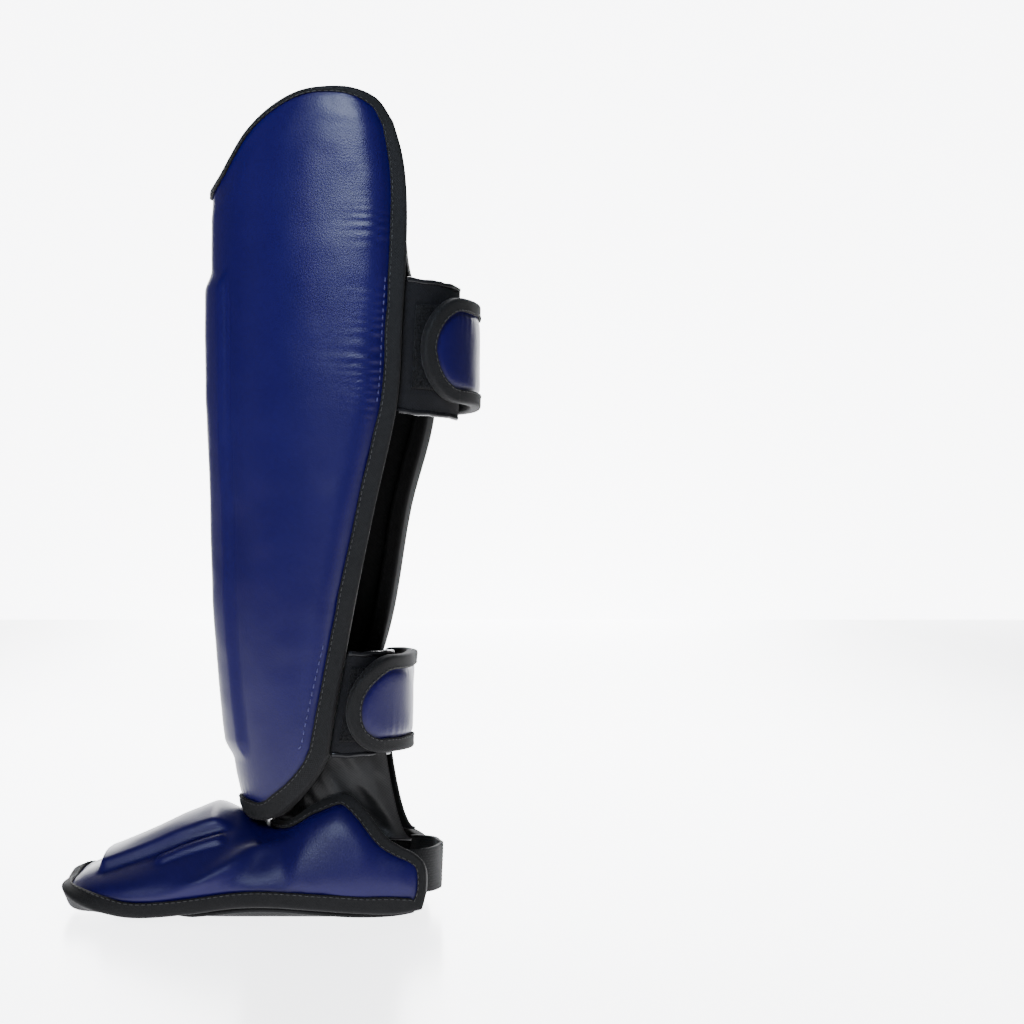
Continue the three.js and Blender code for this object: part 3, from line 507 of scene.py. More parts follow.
def row_value(rows, axis, column, at):
    """Smooth value of one column of a table, at places along another."""
    x, y = rows[axis], rows[column]
    at = np.asarray(at, float)
    before = np.maximum(np.arange(len(x)) - 1, 0)
    after = np.minimum(np.arange(len(x)) + 1, len(x) - 1)
    slope = (y[after] - y[before]) / (x[after] - x[before])
    i = np.searchsorted(x[1:-1], at, side="left")
    span = x[i + 1] - x[i]
    t = clamp01((at - x[i]) / span)
    return curve_between(y[i], slope[i], y[i + 1], slope[i + 1], t, span)


def soft_noise(points, size, seed):
    """Smooth noise from -1 to 1 whose features are about size across, at points of up to three numbers."""
    scaled = np.asarray(points, float) / size
    cell = np.floor(scaled).astype(np.int64)
    share = ease(scaled - cell)
    primes = np.array([73856093, 19349663, 83492791])[: scaled.shape[-1]]
    total = np.zeros(scaled.shape[:-1])
    for corner in np.ndindex(*(2,) * scaled.shape[-1]):
        offset = np.array(corner)
        key = ((cell + offset) * primes).sum(-1) + seed * 7919
        key = (key ^ (key >> 13)) * 1274126177 & 0x7FFFFFFF
        key = (key ^ (key >> 16)) & 0xFFFFFF
        weight = np.where(offset == 1, share, 1 - share).prod(-1)
        total += weight * (key / 0x7FFFFF - 1)
    return total


def line_noise(along, size, seed):
    return soft_noise(np.asarray(along, float)[..., None], size, seed)


def swells(points, kind, seed):
    """Unevenness of one kind at points."""
    height, size = kind
    return height * soft_noise(points, size, seed)


def line_swells(along, kind, seed):
    """Unevenness of one kind at places along a line."""
    height, size = kind
    return height * line_noise(along, size, seed)


# Surfaces: functions of u round the leg or foot and v along it.

def slopes(surface, u, v):
    across = (surface(u + STEP, v) - surface(u - STEP, v)) / (2 * STEP)
    along = (surface(u, v + STEP) - surface(u, v - STEP)) / (2 * STEP)
    return across, along


def outward(surface, u, v):
    across, along = slopes(surface, u, v)
    return unit(np.cross(across, along))


def under(surface, u, v, depth):
    depth = np.asarray(depth, float)[..., None]
    return surface(u, v) - outward(surface, u, v) * depth


def shin_row(column, v):
    return row_value(SHIN_SECTIONS, "height", column, v)


def shin_surface(u, v):
    u, v = as_arrays(u, v)
    wrap = np.where(u > 0, shin_row("near_wrap", v), shin_row("far_wrap", v))
    angle = u * np.radians(wrap)
    half_width = SHIN_HALF_WIDTH * shin_row("half_width", v)
    depth = half_width**2 / (NOSE_RADIUS * shin_row("nose", v))
    front = SHIN_FRONT + FRONT_SWEEP * shin_row("sweep", v)
    x = half_width * np.sin(angle)
    y = front + depth * (1 - np.cos(angle))
    return np.stack([x, y, SHIN_LOW + SHIN_HEIGHT * v], -1)


def edge_nearness(u, v):
    """1 at the shin's top or low edge, falling to 0 over EDGE_THINNING inside it, and 0 at its back edges."""
    across = np.abs(u)
    top = np.interp(across, SHIN_TOP_EDGE["u"][:-1], SHIN_TOP_EDGE["v"][:-1]) - v
    low = v - np.interp(across, SHIN_LOW_EDGE["u"], SHIN_LOW_EDGE["v"])
    near_top = 1 - ease(top * SHIN_HEIGHT / EDGE_THINNING)
    near_top = near_top * ease((TOP_THINNING_END - across) / TOP_THINNING_FADE)
    near_low = 1 - ease(low * SHIN_HEIGHT / EDGE_THINNING)
    near_low = near_low * ease((LOW_THINNING_END - across) / LOW_THINNING_FADE)
    return np.maximum(near_top, near_low)


def shin_pad(u, v):
    """Thickness of the shin's padding, which thins from inside towards its top and low edges."""
    full = mix(FRONT_PAD, WING_PAD, ease(np.abs(u) / SHIN_PAD_BLEND)) * shin_row("pad", v)
    return mix(full, np.minimum(full, EDGE_THICKNESS), edge_nearness(u, v))


def foot_row(column, v):
    return row_value(FOOT_SECTIONS, "along", column, v)


def foot_surface(u, v):
    u, v = as_arrays(u, v)
    sine = np.sin(u * math.pi / 2)
    low = RIM_LIFT * foot_row("rim", v)
    arch = np.cos(u * math.pi / 2) * (1 - foot_row("pinch", v) * sine**2)
    lift = RIM_LIFT * foot_row("far_lift", v) * ease(-sine)
    z = low + (FOOT_CROWN * foot_row("crown", v) - low) * arch + lift
    half_width = FOOT_HALF_WIDTH * foot_row("half_width", v)
    return np.stack([half_width * sine, FOOT_TOE + FOOT_LENGTH * v, z], -1)


def foot_pad(u, v):
    return mix(INSTEP_PAD, FLAP_PAD, ease(np.abs(u) / FOOT_PAD_BLEND)) * foot_row("pad", v)


# Outlines

def smooth_curve(points, count):
    """Evenly spaced points along a smooth curve through the given ones."""
    ends = np.vstack([2 * points[0] - points[1], points, 2 * points[-1] - points[-2]])
    fine = []
    for a, b, c, d in zip(ends, ends[1:], ends[2:], ends[3:]):
        t0 = np.linalg.norm(b - a) ** 0.5
        t1 = np.linalg.norm(c - b) ** 0.5
        t2 = np.linalg.norm(d - c) ** 0.5
        slope_b = (b - a) / t0 - (c - a) / (t0 + t1) + (c - b) / t1
        slope_c = (c - b) / t1 - (d - b) / (t1 + t2) + (d - c) / t2
        t = np.linspace(0, 1, CURVE_STEPS, endpoint=False)[:, None]
        fine.append(curve_between(b, slope_b, c, slope_c, t, t1))
    fine = np.vstack([*fine, points[-1]])
    lengths = np.concatenate([[0], np.cumsum(np.linalg.norm(np.diff(fine, axis=0), axis=1))])
    places = np.linspace(0, lengths[-1], count)
    return np.stack([np.interp(places, lengths, fine[:, k]) for k in range(fine.shape[1])], 1)


def side_points(rows, scale, mirrored=False):
    sign = -1 if mirrored else 1
    return np.stack([sign * rows["u"] * scale[0], rows["v"] * scale[1], rows["tape"]], 1)


def whole_end(rows, scale, far_rows=None):
    """A whole end of an outline, from its far corner over the middle to its near corner."""
    far = side_points(far_rows or rows, scale, True)
    return np.vstack([far[::-1], side_points(rows, scale)[1:]])


class Panel:
    """A stretch of a surface inside an outline, as an even grid of places and a closed edge."""

    def __init__(self, surface, sides, scale, grid, gathers=None):
        self.surface = surface
        self.gathers = gathers
        columns, rows = grid
        counts = [columns + 1, rows + 1, columns + 1, rows + 1]
        low, near, top, far = [smooth_curve(side, n) for side, n in zip(sides, counts)]
        across = np.linspace(0, 1, columns + 1)[:, None, None]
        along = np.linspace(0, 1, rows + 1)[None, :, None]
        ruled = mix(low[:, None], top[:, None], along) + mix(far[None], near[None], across)
        corners = mix(mix(low[0], low[-1], across), mix(top[0], top[-1], across), along)
        places = ruled - corners
        self.u = places[..., 0] / scale[0]
        self.v = places[..., 1] / scale[1]
        low, near, top, far = [smooth_curve(side, int(EDGE_DETAIL * n)) for side, n in zip(sides, counts)]
        loop = np.vstack([low[:-1], near[:-1], top[::-1][:-1], far[::-1][:-1]])
        self.edge_u = loop[:, 0] / scale[0]
        self.edge_v = loop[:, 1] / scale[1]
        self.edge_tape = loop[:, 2]
        self.even_edge()

    def even_edge(self):
        """Respaces the edge evenly in space, and finds its directions."""
        here = self.surface(self.edge_u, self.edge_v)
        gaps = np.linalg.norm(np.roll(here, -1, 0) - here, axis=1)
        lengths = np.concatenate([[0], np.cumsum(gaps)])
        self.length = lengths[-1]
        count = int(self.length / EDGE_SPACING)
        places = np.linspace(0, self.length, count, endpoint=False)
        wrap = [np.append(a, a[0]) for a in (self.edge_u, self.edge_v, self.edge_tape)]
        self.edge_u, self.edge_v, self.edge_tape = [np.interp(places, lengths, a) for a in wrap]
        self.edge_along = places
        self.edge = self.surface(self.edge_u, self.edge_v)
        self.edge_normal = outward(self.surface, self.edge_u, self.edge_v)
        self.tangent = unit(np.roll(self.edge, -EDGE_REACH, 0) - np.roll(self.edge, EDGE_REACH, 0))
        self.edge_out = unit(np.cross(self.tangent, self.edge_normal))

    def inset(self, width):
        """Places at a width in from the edge."""
        across, along = slopes(self.surface, self.edge_u, self.edge_v)
        inwards = -self.edge_out
        width = np.broadcast_to(width, self.edge_u.shape)
        a = dot(inwards, across)[:, 0] * width
        b = dot(inwards, along)[:, 0] * width
        aa, bb, ab = dot(across, across)[:, 0], dot(along, along)[:, 0], dot(across, along)[:, 0]
        det = aa * bb - ab**2
        return self.edge_u + (a * bb - b * ab) / det, self.edge_v + (b * aa - a * ab) / det

    def measure(self, tape_width):
        """For each place, its distance from the seam beside the tape and its place along the edge."""
        points = self.surface(self.u, self.v).reshape(-1, 3)
        distance = np.empty(len(points))
        nearest = np.empty(len(points), int)
        for start in range(0, len(points), MEASURE_BATCH):
            batch = slice(start, start + MEASURE_BATCH)
            gaps = np.linalg.norm(points[batch, None] - self.edge[None], axis=2) - tape_width * self.edge_tape
            nearest[batch] = gaps.argmin(1)
            distance[batch] = gaps.min(1)
        self.distance = np.maximum(distance, 0).reshape(self.u.shape)
        self.along = self.edge_along[nearest].reshape(self.u.shape)


# Meshes

def grid_faces(columns, rows, start=0, flip=False):
    i, j = np.meshgrid(np.arange(columns), np.arange(rows), indexing="ij")
    a = start + i * (rows + 1) + j
    b = a + rows + 1
    quads = np.stack([a, b, b + 1, a + 1], -1).reshape(-1, 4)
    return quads[:, ::-1] if flip else quads


def rim_of_grid(columns, rows):
    """Indices round the edge of a grid: low, near, top and far sides."""
    index = np.arange((columns + 1) * (rows + 1)).reshape(columns + 1, rows + 1)
    return np.concatenate([index[:, 0], index[-1, 1:], index[:-1, -1][::-1], index[0, 1:-1][::-1]])


def layered_solid(outer, inner):
    """A closed solid between two grids of points."""
    columns, rows = outer.shape[0] - 1, outer.shape[1] - 1
    half = (columns + 1) * (rows + 1)
    rim = rim_of_grid(columns, rows)
    following = np.roll(rim, -1)
    wall = np.stack([rim, rim + half, following + half, following], 1)
    faces = np.vstack([grid_faces(columns, rows), grid_faces(columns, rows, half, True), wall])
    return np.vstack([outer.reshape(-1, 3), inner.reshape(-1, 3)]), faces


def swept_solid(sections, closed=True):
    """A closed solid through sections of as many points each."""
    count, corners = sections.shape[:2]
    loops = count if closed else count - 1
    k, c = np.meshgrid(np.arange(loops), np.arange(corners), indexing="ij")
    here = k * corners + c
    there = (k + 1) % count * corners + c
    turn = (c + 1) % corners - c
    faces = np.stack([here, there, there + turn, here + turn], -1).reshape(-1, 4).tolist()
    if not closed:
        faces.append(list(range(corners)))
        faces.append(list(range((count - 1) * corners, count * corners))[::-1])
    return sections.reshape(-1, 3), faces


def outward_faces(points, faces):
    """The same faces, turned if they point into the solid."""
    corners = [(face[0], b, c) for face in faces for b, c in zip(face[1:-1], face[2:])]
    a, b, c = np.moveaxis(points[np.array(corners)], 1, 0)
    volume = (a * np.cross(b, c)).sum()
    return faces if volume > 0 else [face[::-1] for face in faces]


def add_piece(name, points, faces, material, stands_for=(), uv=None):
    """Makes a mesh object of a piece, facing out, on the part's only body."""
    faces = [list(map(int, face)) for face in outward_faces(points, faces)]
    mesh = bpy.data.meshes.new(name)
    mesh.from_pydata(((points + SHIFT) * MM).tolist(), [], faces)
    if uv is not None:
        layer = mesh.uv_layers.new(name="flat")
        corners = np.empty(len(mesh.loops), int)
        mesh.loops.foreach_get("vertex_index", corners)
        layer.data.foreach_set("uv", (uv[corners] * MM).astype(np.float32).ravel())
    mesh.materials.append(material)
    mesh.shade_smooth()
    piece = bpy.data.objects.new(name, mesh)
    bpy.context.scene.collection.objects.link(piece)
    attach(piece, "root")
    if stands_for:
        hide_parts(*stands_for)
    return piece


def add_layered(name, outer, inner, material, stands_for, across, along):
    """A piece between two grids of points, which lie at across and along when the cloth is flat."""
    flat = np.stack([np.ravel(across), np.ravel(along)], 1)
    points, faces = layered_solid(outer, inner)
    return add_piece(name, points, faces, material, stands_for, np.vstack([flat, flat]))


def stitch_mesh(lines, length, pitch, radius):
    """Arched stitches along lines, each given as its points and the directions the cloth faces."""
    points, faces = [], []
    ring = STITCH_CORNERS
    turns = np.arange(ring) * 2 * math.pi / ring
    for line, facing in lines:
        lengths = np.concatenate([[0], np.cumsum(np.linalg.norm(np.diff(line, axis=0), axis=1))])

        def at(values, place):
            return np.array([np.interp(place, lengths, values[:, k]) for k in range(3)])

        for start in np.arange(pitch / 2, lengths[-1] - length, pitch):
            first = len(points)
            direction = unit(at(line, start + length) - at(line, start))
            for share, rise in STITCH_SHAPE:
                place = start + share * length
                up = unit(at(facing, place))
                side = unit(np.cross(direction, up))
                middle = at(line, place) + up * radius * rise
                for turn in turns:
                    points.append(middle + radius * (math.cos(turn) * side + math.sin(turn) * up))
            for k in range(len(STITCH_SHAPE) - 1):
                for c in range(ring):
                    a, b = first + k * ring + c, first + k * ring + (c + 1) % ring
                    faces.append([a, b, b + ring, a + ring])
            faces.append([first + c for c in reversed(range(ring))])
            faces.append([first + (len(STITCH_SHAPE) - 1) * ring + c for c in range(ring)])
    return np.array(points), faces


def add_stitches(name, lines, material, stitch):
    points, faces = stitch_mesh(lines, **stitch)
    return add_piece(name, points, faces, material)


# Materials

def feed(tree, socket, value):
    """Links a value to a socket, or sets it as the socket's own value."""
    if isinstance(value, bpy.types.NodeSocket):
        tree.links.new(value, socket)
    elif value is not None:
        socket.default_value = value


def node(tree, kind, x, y, inputs=None, **settings):
    """A node of a kind at a place of its tree, with its inputs given by their titles."""
    made = tree.nodes.new(kind)
    made.location = (x, y)
    for name, value in settings.items():
        setattr(made, name, value)
    for title, value in (inputs or {}).items():
        feed(tree, made.inputs[title], value)
    return made


def new_group(name, inputs, outputs):
    """An empty shader group with named inputs and outputs."""
    tree = bpy.data.node_groups.new(name, "ShaderNodeTree")
    for title, kind, default in inputs:
        socket = tree.interface.new_socket(name=title, in_out="INPUT", socket_type=kind)
        if default is not None:
            socket.default_value = default
    for title, kind in outputs:
        tree.interface.new_socket(name=title, in_out="OUTPUT", socket_type=kind)
    start = node(tree, "NodeGroupInput", -900, 0)
    end = node(tree, "NodeGroupOutput", 700, 0)
    return tree, start, end


def math_node(tree, operation, a, b, x, y, c=None):
    made = node(tree, "ShaderNodeMath", x, y, operation=operation)
    for socket, value in zip(made.inputs, (a, b, c)):
        feed(tree, socket, value)
    return made.outputs[0]


def colour_mix(tree, factor, a, b, x, y):
    made = node(tree, "ShaderNodeMix", x, y, data_type="RGBA")
    for socket, value in ((made.inputs[0], factor), (made.inputs[6], (*a, 1)), (made.inputs[7], (*b, 1))):
        feed(tree, socket, value)
    return made.outputs[2]


def grain_group():
    """Pebbled grain with faint creases: a height and a slow mottling mask."""
    tree, start, end = new_group(
        "leather grain",
        [("Vector", "NodeSocketVector", None), ("Pebble size mm", "NodeSocketFloat", 1.1),
         ("Crease", "NodeSocketFloat", 0.5)],
        [("Height", "NodeSocketFloat"), ("Mottle", "NodeSocketFloat")],
    )
    place = start.outputs["Vector"]
    scale = math_node(tree, "DIVIDE", 1 / MM, start.outputs["Pebble size mm"], -700, -200)
    pebbles = node(tree, "ShaderNodeTexVoronoi", -450, 100,
                   {"Vector": place, "Scale": scale, "Smoothness": 0.6}, feature="SMOOTH_F1")
    creases = node(tree, "ShaderNodeTexNoise", -450, -200,
                   {"Vector": place, "Scale": 70, "Detail": 6, "Roughness": 0.62, "Distortion": 0.8})
    centred = math_node(tree, "SUBTRACT", creases.outputs["Fac"], 0.5, -250, -200)
    folded = math_node(tree, "ABSOLUTE", centred, None, -100, -200)
    sharp = math_node(tree, "MULTIPLY", folded, start.outputs["Crease"], 60, -200)
    height = math_node(tree, "ADD", pebbles.outputs["Distance"], sharp, 260, 40)
    mottle = node(tree, "ShaderNodeTexNoise", -450, -500, {"Vector": place, "Scale": 22, "Detail": 3})
    feed(tree, end.inputs["Height"], height)
    feed(tree, end.inputs["Mottle"], mottle.outputs["Fac"])
    return tree


def weave_group():
    """Plain weave from the piece's flat coordinates: a height and a thread mask."""
    tree, start, end = new_group(
        "plain weave",
        [("Vector", "NodeSocketVector", None), ("Thread mm", "NodeSocketFloat", 0.7),
         ("Across mm", "NodeSocketFloat", 0.7)],
        [("Height", "NodeSocketFloat"), ("Thread", "NodeSocketFloat")],
    )
    place = start.outputs["Vector"]
    parts = node(tree, "ShaderNodeSeparateXYZ", -700, 0, {"Vector": place})
    waves = []
    for k, size in enumerate(("Thread mm", "Across mm")):
        per = math_node(tree, "DIVIDE", math.pi / MM, start.outputs[size], -500, -200 * k)
        turned = math_node(tree, "MULTIPLY", parts.outputs[k], per, -330, -200 * k)
        waves.append(math_node(tree, "SINE", turned, None, -160, -200 * k))
    crossing = math_node(tree, "MULTIPLY", waves[0], waves[1], 30, 0)
    height = math_node(tree, "MULTIPLY_ADD", crossing, 0.5, 230, 0, 0.5)
    wobble = node(tree, "ShaderNodeTexNoise", -160, -420, {"Vector": place, "Scale": 400})
    thread = math_node(tree, "MULTIPLY", wobble.outputs["Fac"], height, 430, -200)
    feed(tree, end.inputs["Height"], height)
    feed(tree, end.inputs["Thread"], thread)
    return tree


GRAIN = grain_group()
WEAVE = weave_group()


def new_material(name, base, roughness, inputs=None):
    """A material whose other inputs are given by their titles."""
    material = bpy.data.materials.new(name)
    material.use_nodes = True
    shader = material.node_tree.nodes["Principled BSDF"]
    for title, value in {"Base Color": (*base, 1), "Roughness": roughness, **(inputs or {})}.items():
        shader.inputs[title].default_value = value
    return material, material.node_tree, shader


def add_bump(tree, shader, height, strength, distance_mm):
    bump = node(tree, "ShaderNodeBump", -200, -300,
                {"Strength": strength, "Distance": distance_mm * MM, "Height": height})
    feed(tree, shader.inputs["Normal"], bump.outputs["Normal"])


def leather_material(name, dark, light, roughness):
    material, tree, shader = new_material(name, light, roughness, {"Specular IOR Level": LEATHER_SPECULAR})
    place = node(tree, "ShaderNodeTexCoord", -1100, 0)
    inputs = {"Vector": place.outputs["Object"], "Pebble size mm": PEBBLE_SIZE, "Crease": PEBBLE_CREASE}
    grain = node(tree, "ShaderNodeGroup", -800, 0, inputs, node_tree=GRAIN)
    mottle = grain.outputs["Mottle"]
    feed(tree, shader.inputs["Base Color"], colour_mix(tree, mottle, dark, light, -400, 200))
    lowest = roughness - ROUGHNESS_SPREAD / 2
    rough = math_node(tree, "MULTIPLY_ADD", mottle, ROUGHNESS_SPREAD, -400, -50, lowest)
    feed(tree, shader.inputs["Roughness"], rough)
    add_bump(tree, shader, grain.outputs["Height"], LEATHER_BUMP, PEBBLE_DEPTH)
    return material


def woven_material(name, dark, light, roughness, threads, depth_mm, sheen, specular=CLOTH_SPECULAR):
    """Woven cloth, with the widths of its threads along and across."""
    material, tree, shader = new_material(name, light, roughness, {
        "Sheen Weight": sheen, "Sheen Roughness": CLOTH_SHEEN_ROUGHNESS, "Specular IOR Level": specular})
    place = node(tree, "ShaderNodeUVMap", -1100, 0, uv_map="flat")
    inputs = {"Vector": place.outputs["UV"], "Thread mm": threads[0], "Across mm": threads[1]}
    weave = node(tree, "ShaderNodeGroup", -800, 0, inputs, node_tree=WEAVE)
    feed(tree, shader.inputs["Base Color"], colour_mix(tree, weave.outputs["Thread"], dark, light, -400, 200))
    add_bump(tree, shader, weave.outputs["Height"], CLOTH_BUMP, depth_mm)
    return material


def pile_material():
    material, tree, shader = new_material("loop pile", VINYL_BLACK, PILE_ROUGHNESS, {
        "Sheen Weight": PILE_SHEEN, "Specular IOR Level": CLOTH_SPECULAR})
    place = node(tree, "ShaderNodeTexCoord", -900, 0)
    loops = node(tree, "ShaderNodeTexNoise", -650, 0,
                 {"Vector": place.outputs["Object"], "Scale": 900, "Detail": 4})
    height = loops.outputs["Fac"]
    feed(tree, shader.inputs["Base Color"], colour_mix(tree, height, PILE_GAP_BLACK, LINING_BLACK, -400, 200))
    add_bump(tree, shader, height, PILE_BUMP, PILE_DEPTH)
    return material


BLUE = leather_material("blue leather", DEEP_BLUE, FACE_BLUE, roughness=0.35)
TAPE_CLOTH = woven_material("binding tape", GAP_BLACK, TAPE_BLACK, roughness=0.75,
                            threads=(0.7, 0.6), depth_mm=0.15, sheen=0.02)
LINING_CLOTH = woven_material("lining cloth", GAP_BLACK, LINING_BLACK, roughness=0.85,
                              threads=(0.9, 0.9), depth_mm=0.12, sheen=0.02)
BLACK_CLOTH = woven_material("black cloth", CLOTH_GAP_BLACK, PANEL_BLACK, roughness=0.8,
                             threads=(0.8, 0.8), depth_mm=0.15, sheen=0.03)
ANKLE_CLOTH = woven_material("ankle cloth", CLOTH_GAP_BLACK, ANKLE_BLACK, roughness=0.45,
                             threads=(0.8, 0.8), depth_mm=0.15, sheen=0.03, specular=0.2)
ELASTIC = woven_material("elastic band", GAP_BLACK, ELASTIC_BLACK, roughness=0.75,
                         threads=(0.6, 1.3), depth_mm=0.3, sheen=0.03)
PILE = pile_material()
VINYL = leather_material("glossy vinyl", VINYL_BLACK, VINYL_SHINE_BLACK, roughness=0.22)
THREAD, _, _ = new_material("stitching thread", THREAD_BLUE, roughness=0.55)
DARK_THREAD, _, _ = new_material("dark thread", VINYL_BLACK, roughness=0.6)


# Shin cover

def puff(distance, width):
    """Quarter-round rise of the padding from its flat bound edge."""
    share = 1 - clamp01(distance / width)
    return np.sqrt(1 - share**2)


def puckers(along, distance, size, depth, reach, seed):
    """Gathers that run in from a seam and die out."""
    turn = along / size + PUCKER_DRIFT * line_noise(along, 4 * size, seed)
    strength = clamp01(PUCKER_MEAN + PUCKER_SPREAD * line_noise(along, 5 * size, seed + 1))
    wave = strength * np.sin(2 * math.pi * turn) + PUCKER_ROUGHNESS * line_noise(along, size, seed + 3)
    local_reach = reach * (1 + PUCKER_REACH_SPREAD * line_noise(along, size * 1.7, seed + 2))
    return depth * wave * np.exp(-distance / local_reach) * ease(distance / PUCKER_SEAM)


def shin_gathers(u, v):
    """How far the cover is gathered at a place: most along the upper back edges."""
    high = soft_band(v - DEEP_GATHER_HEIGHT, DEEP_GATHER_HALF_HEIGHT, DEEP_GATHER_SOFT)
    back = ease((np.abs(u) - DEEP_GATHER_START) / DEEP_GATHER_FADE)
    return mix(SLIGHT_GATHER, DEEP_GATHER, high * back)


def foot_gathers(u, v):
    return np.full_like(u, SLIGHT_GATHER)


def ridge_rise(u, v):
    place = shin_surface(u, v)
    taper = clamp01((RIDGE_HIGH - place[..., 2]) / (RIDGE_HIGH - RIDGE_LOW))
    half_width = RIDGE_HALF_WIDTH - RIDGE_TAPER * taper
    side = soft_side(half_width - np.abs(place[..., 0]), RIDGE_SOFT_SIDE)
    low = soft_side(place[..., 2] - RIDGE_LOW, RIDGE_SOFT_END)
    high = soft_side(RIDGE_HIGH - place[..., 2], RIDGE_SOFT_END)
    return RIDGE_RISE * side * low * high * (np.abs(u) < RIDGE_FRONT_SHARE)


shin_panel = Panel(
    shin_surface,
    [whole_end(SHIN_LOW_EDGE, SHIN_SCALE), side_points(SHIN_BACK_EDGE, SHIN_SCALE),
     whole_end(SHIN_TOP_EDGE, SHIN_SCALE), side_points(SHIN_BACK_EDGE, SHIN_SCALE, True)],
    SHIN_SCALE, SHIN_GRID, shin_gathers,
)
shin_panel.measure(SHIN_TAPE_WIDTH)


def cover_depth(panel, pad, relief, rim, puff_width, u, v, distance, along, seed):
    """Depth of a cover's face under its surface at places on it."""
    thick = pad(u, v)
    depth = thick - mix(rim, thick, puff(distance, puff_width)) - relief(u, v) * ease(distance / SEAM_FADE)
    gather = puckers(along, distance, PUCKER_SIZE, PUCKER_DEPTH, PUCKER_REACH, seed)
    depth = depth - panel.gathers(u, v) * gather
    flat_points = panel.surface(u, v)
    lumps = swells(flat_points, COVER_LUMPS, seed + 5) + swells(flat_points, COVER_DIMPLES, seed + 6)
    return depth - lumps * ease(distance / COVER_LUMP_FADE)


def build_cover(name, panel, pad, relief, rim, puff_width, scale, stands_for, seed):
    """The padded face of a panel: puffed beside its seam, gathered there and slightly uneven."""
    u, v = panel.u, panel.v
    depth = cover_depth(panel, pad, relief, rim, puff_width, u, v, panel.distance, panel.along, seed)
    outer = under(panel.surface, u, v, depth)
    inner = under(panel.surface, u, v, pad(u, v))
    piece = add_layered(name, outer, inner, BLUE, stands_for, u * scale[0], v * scale[1])
    return piece


def build_lining(name, panel, pad, scale, stands_for, seed):
    u, v = panel.u[::2, ::2], panel.v[::2, ::2]
    top = pad(u, v) + LAYER_GAP
    ripples = swells(panel.surface(u, v), LINING_RIPPLE, seed)
    outer = under(panel.surface, u, v, top)
    inner = under(panel.surface, u, v, top + LINING + ripples)
    piece = add_layered(name, outer, inner, LINING_CLOTH, stands_for,
                        u * scale[0], v * scale[1])


def tape_lines(panel, pad, rim, tape_width, web_gap, seed):
    """The tape's middle surface round an edge: rows of points and the directions in which it faces."""
    width = tape_width * panel.edge_tape * TAPE_COVER + line_swells(panel.edge_along, TAPE_WAVER, seed)
    bend = TAPE_GAP + TAPE / 2
    top_lift = (bend + line_swells(panel.edge_along, TAPE_LIFT_WAVER, seed + 1))[:, None]
    thick = pad(panel.edge_u, panel.edge_v)
    normal, out = panel.edge_normal, panel.edge_out
    lines = []
    for share in TAPE_FACE_SHARES:
        u, v = panel.inset(width * share)
        facing = outward(panel.surface, u, v)
        lines.append((under(panel.surface, u, v, pad(u, v) - rim) + facing * top_lift, facing))
    outer_rim = panel.edge - normal * (thick - rim)[:, None]
    inner_rim = panel.edge - normal * (thick + LAYER_GAP + LINING)[:, None]
    for turn in np.linspace(0, math.pi / 2, TAPE_FOLD_STEPS):
        facing = math.cos(turn) * normal + math.sin(turn) * out
        lines.append((outer_rim + facing * bend, facing))
    for turn in np.linspace(math.pi / 2, math.pi, TAPE_FOLD_STEPS):
        facing = math.cos(turn) * normal + math.sin(turn) * out
        lines.append((inner_rim + facing * bend + out * (web_gap - TAPE_GAP), facing))
    for share in TAPE_BACK_SHARES:
        u, v = panel.inset(width * share)
        facing = -outward(panel.surface, u, v)
        lines.append((under(panel.surface, u, v, pad(u, v) + LAYER_GAP + LINING) + facing * bend, facing))
    return lines


def build_tape(name, panel, pad, rim, tape_width, web_gap, stands_for, seed):
    lines = tape_lines(panel, pad, rim, tape_width, web_gap, seed)
    seam, facing = lines[1]
    facing = np.vstack([facing, facing[:1]])
    seam = np.vstack([seam, seam[:1]]) + facing * TAPE / 2
    add_stitches(f"{name}_stitches", [(seam, facing)], DARK_THREAD, TAPE_STITCH)
    outside = [point + facing * TAPE / 2 for point, facing in lines]
    inside = [point - facing * TAPE / 2 for point, facing in lines]
    first, last = lines[0], lines[-1]
    sections = np.stack([*outside, last[0], *inside[::-1], first[0]], 1)
    points, faces = swept_solid(sections)
    across = np.concatenate([[0], np.cumsum(np.linalg.norm(np.diff(sections, axis=1), axis=2).mean(0))])
    uv = np.stack(np.broadcast_arrays(panel.edge_along[:, None], across[None]), -1).reshape(-1, 2)
    return add_piece(name, points, faces, TAPE_CLOTH, stands_for, uv)


def sewn_line(panel, side, low, high, inset_low, inset_high, seed):
    """A line of the shin cover's face beside the tape of one wing, between two heights."""
    z = panel.edge[:, 2]
    chosen = np.flatnonzero((panel.edge_u * side > WING_EDGE) & (z > low) & (z < high))
    chosen = chosen[np.argsort(z[chosen])]
    inset = mix(inset_low, inset_high, (z - low) / (high - low))
    u, v = panel.inset(SHIN_TAPE_WIDTH * panel.edge_tape + inset)
    u, v, inset, along = u[chosen], v[chosen], inset[chosen], panel.edge_along[chosen]
    depth = cover_depth(panel, shin_pad, ridge_rise, SHIN_RIM, SHIN_PUFF, u, v, inset, along, seed)
    return under(panel.surface, u, v, depth), outward(panel.surface, u, v)


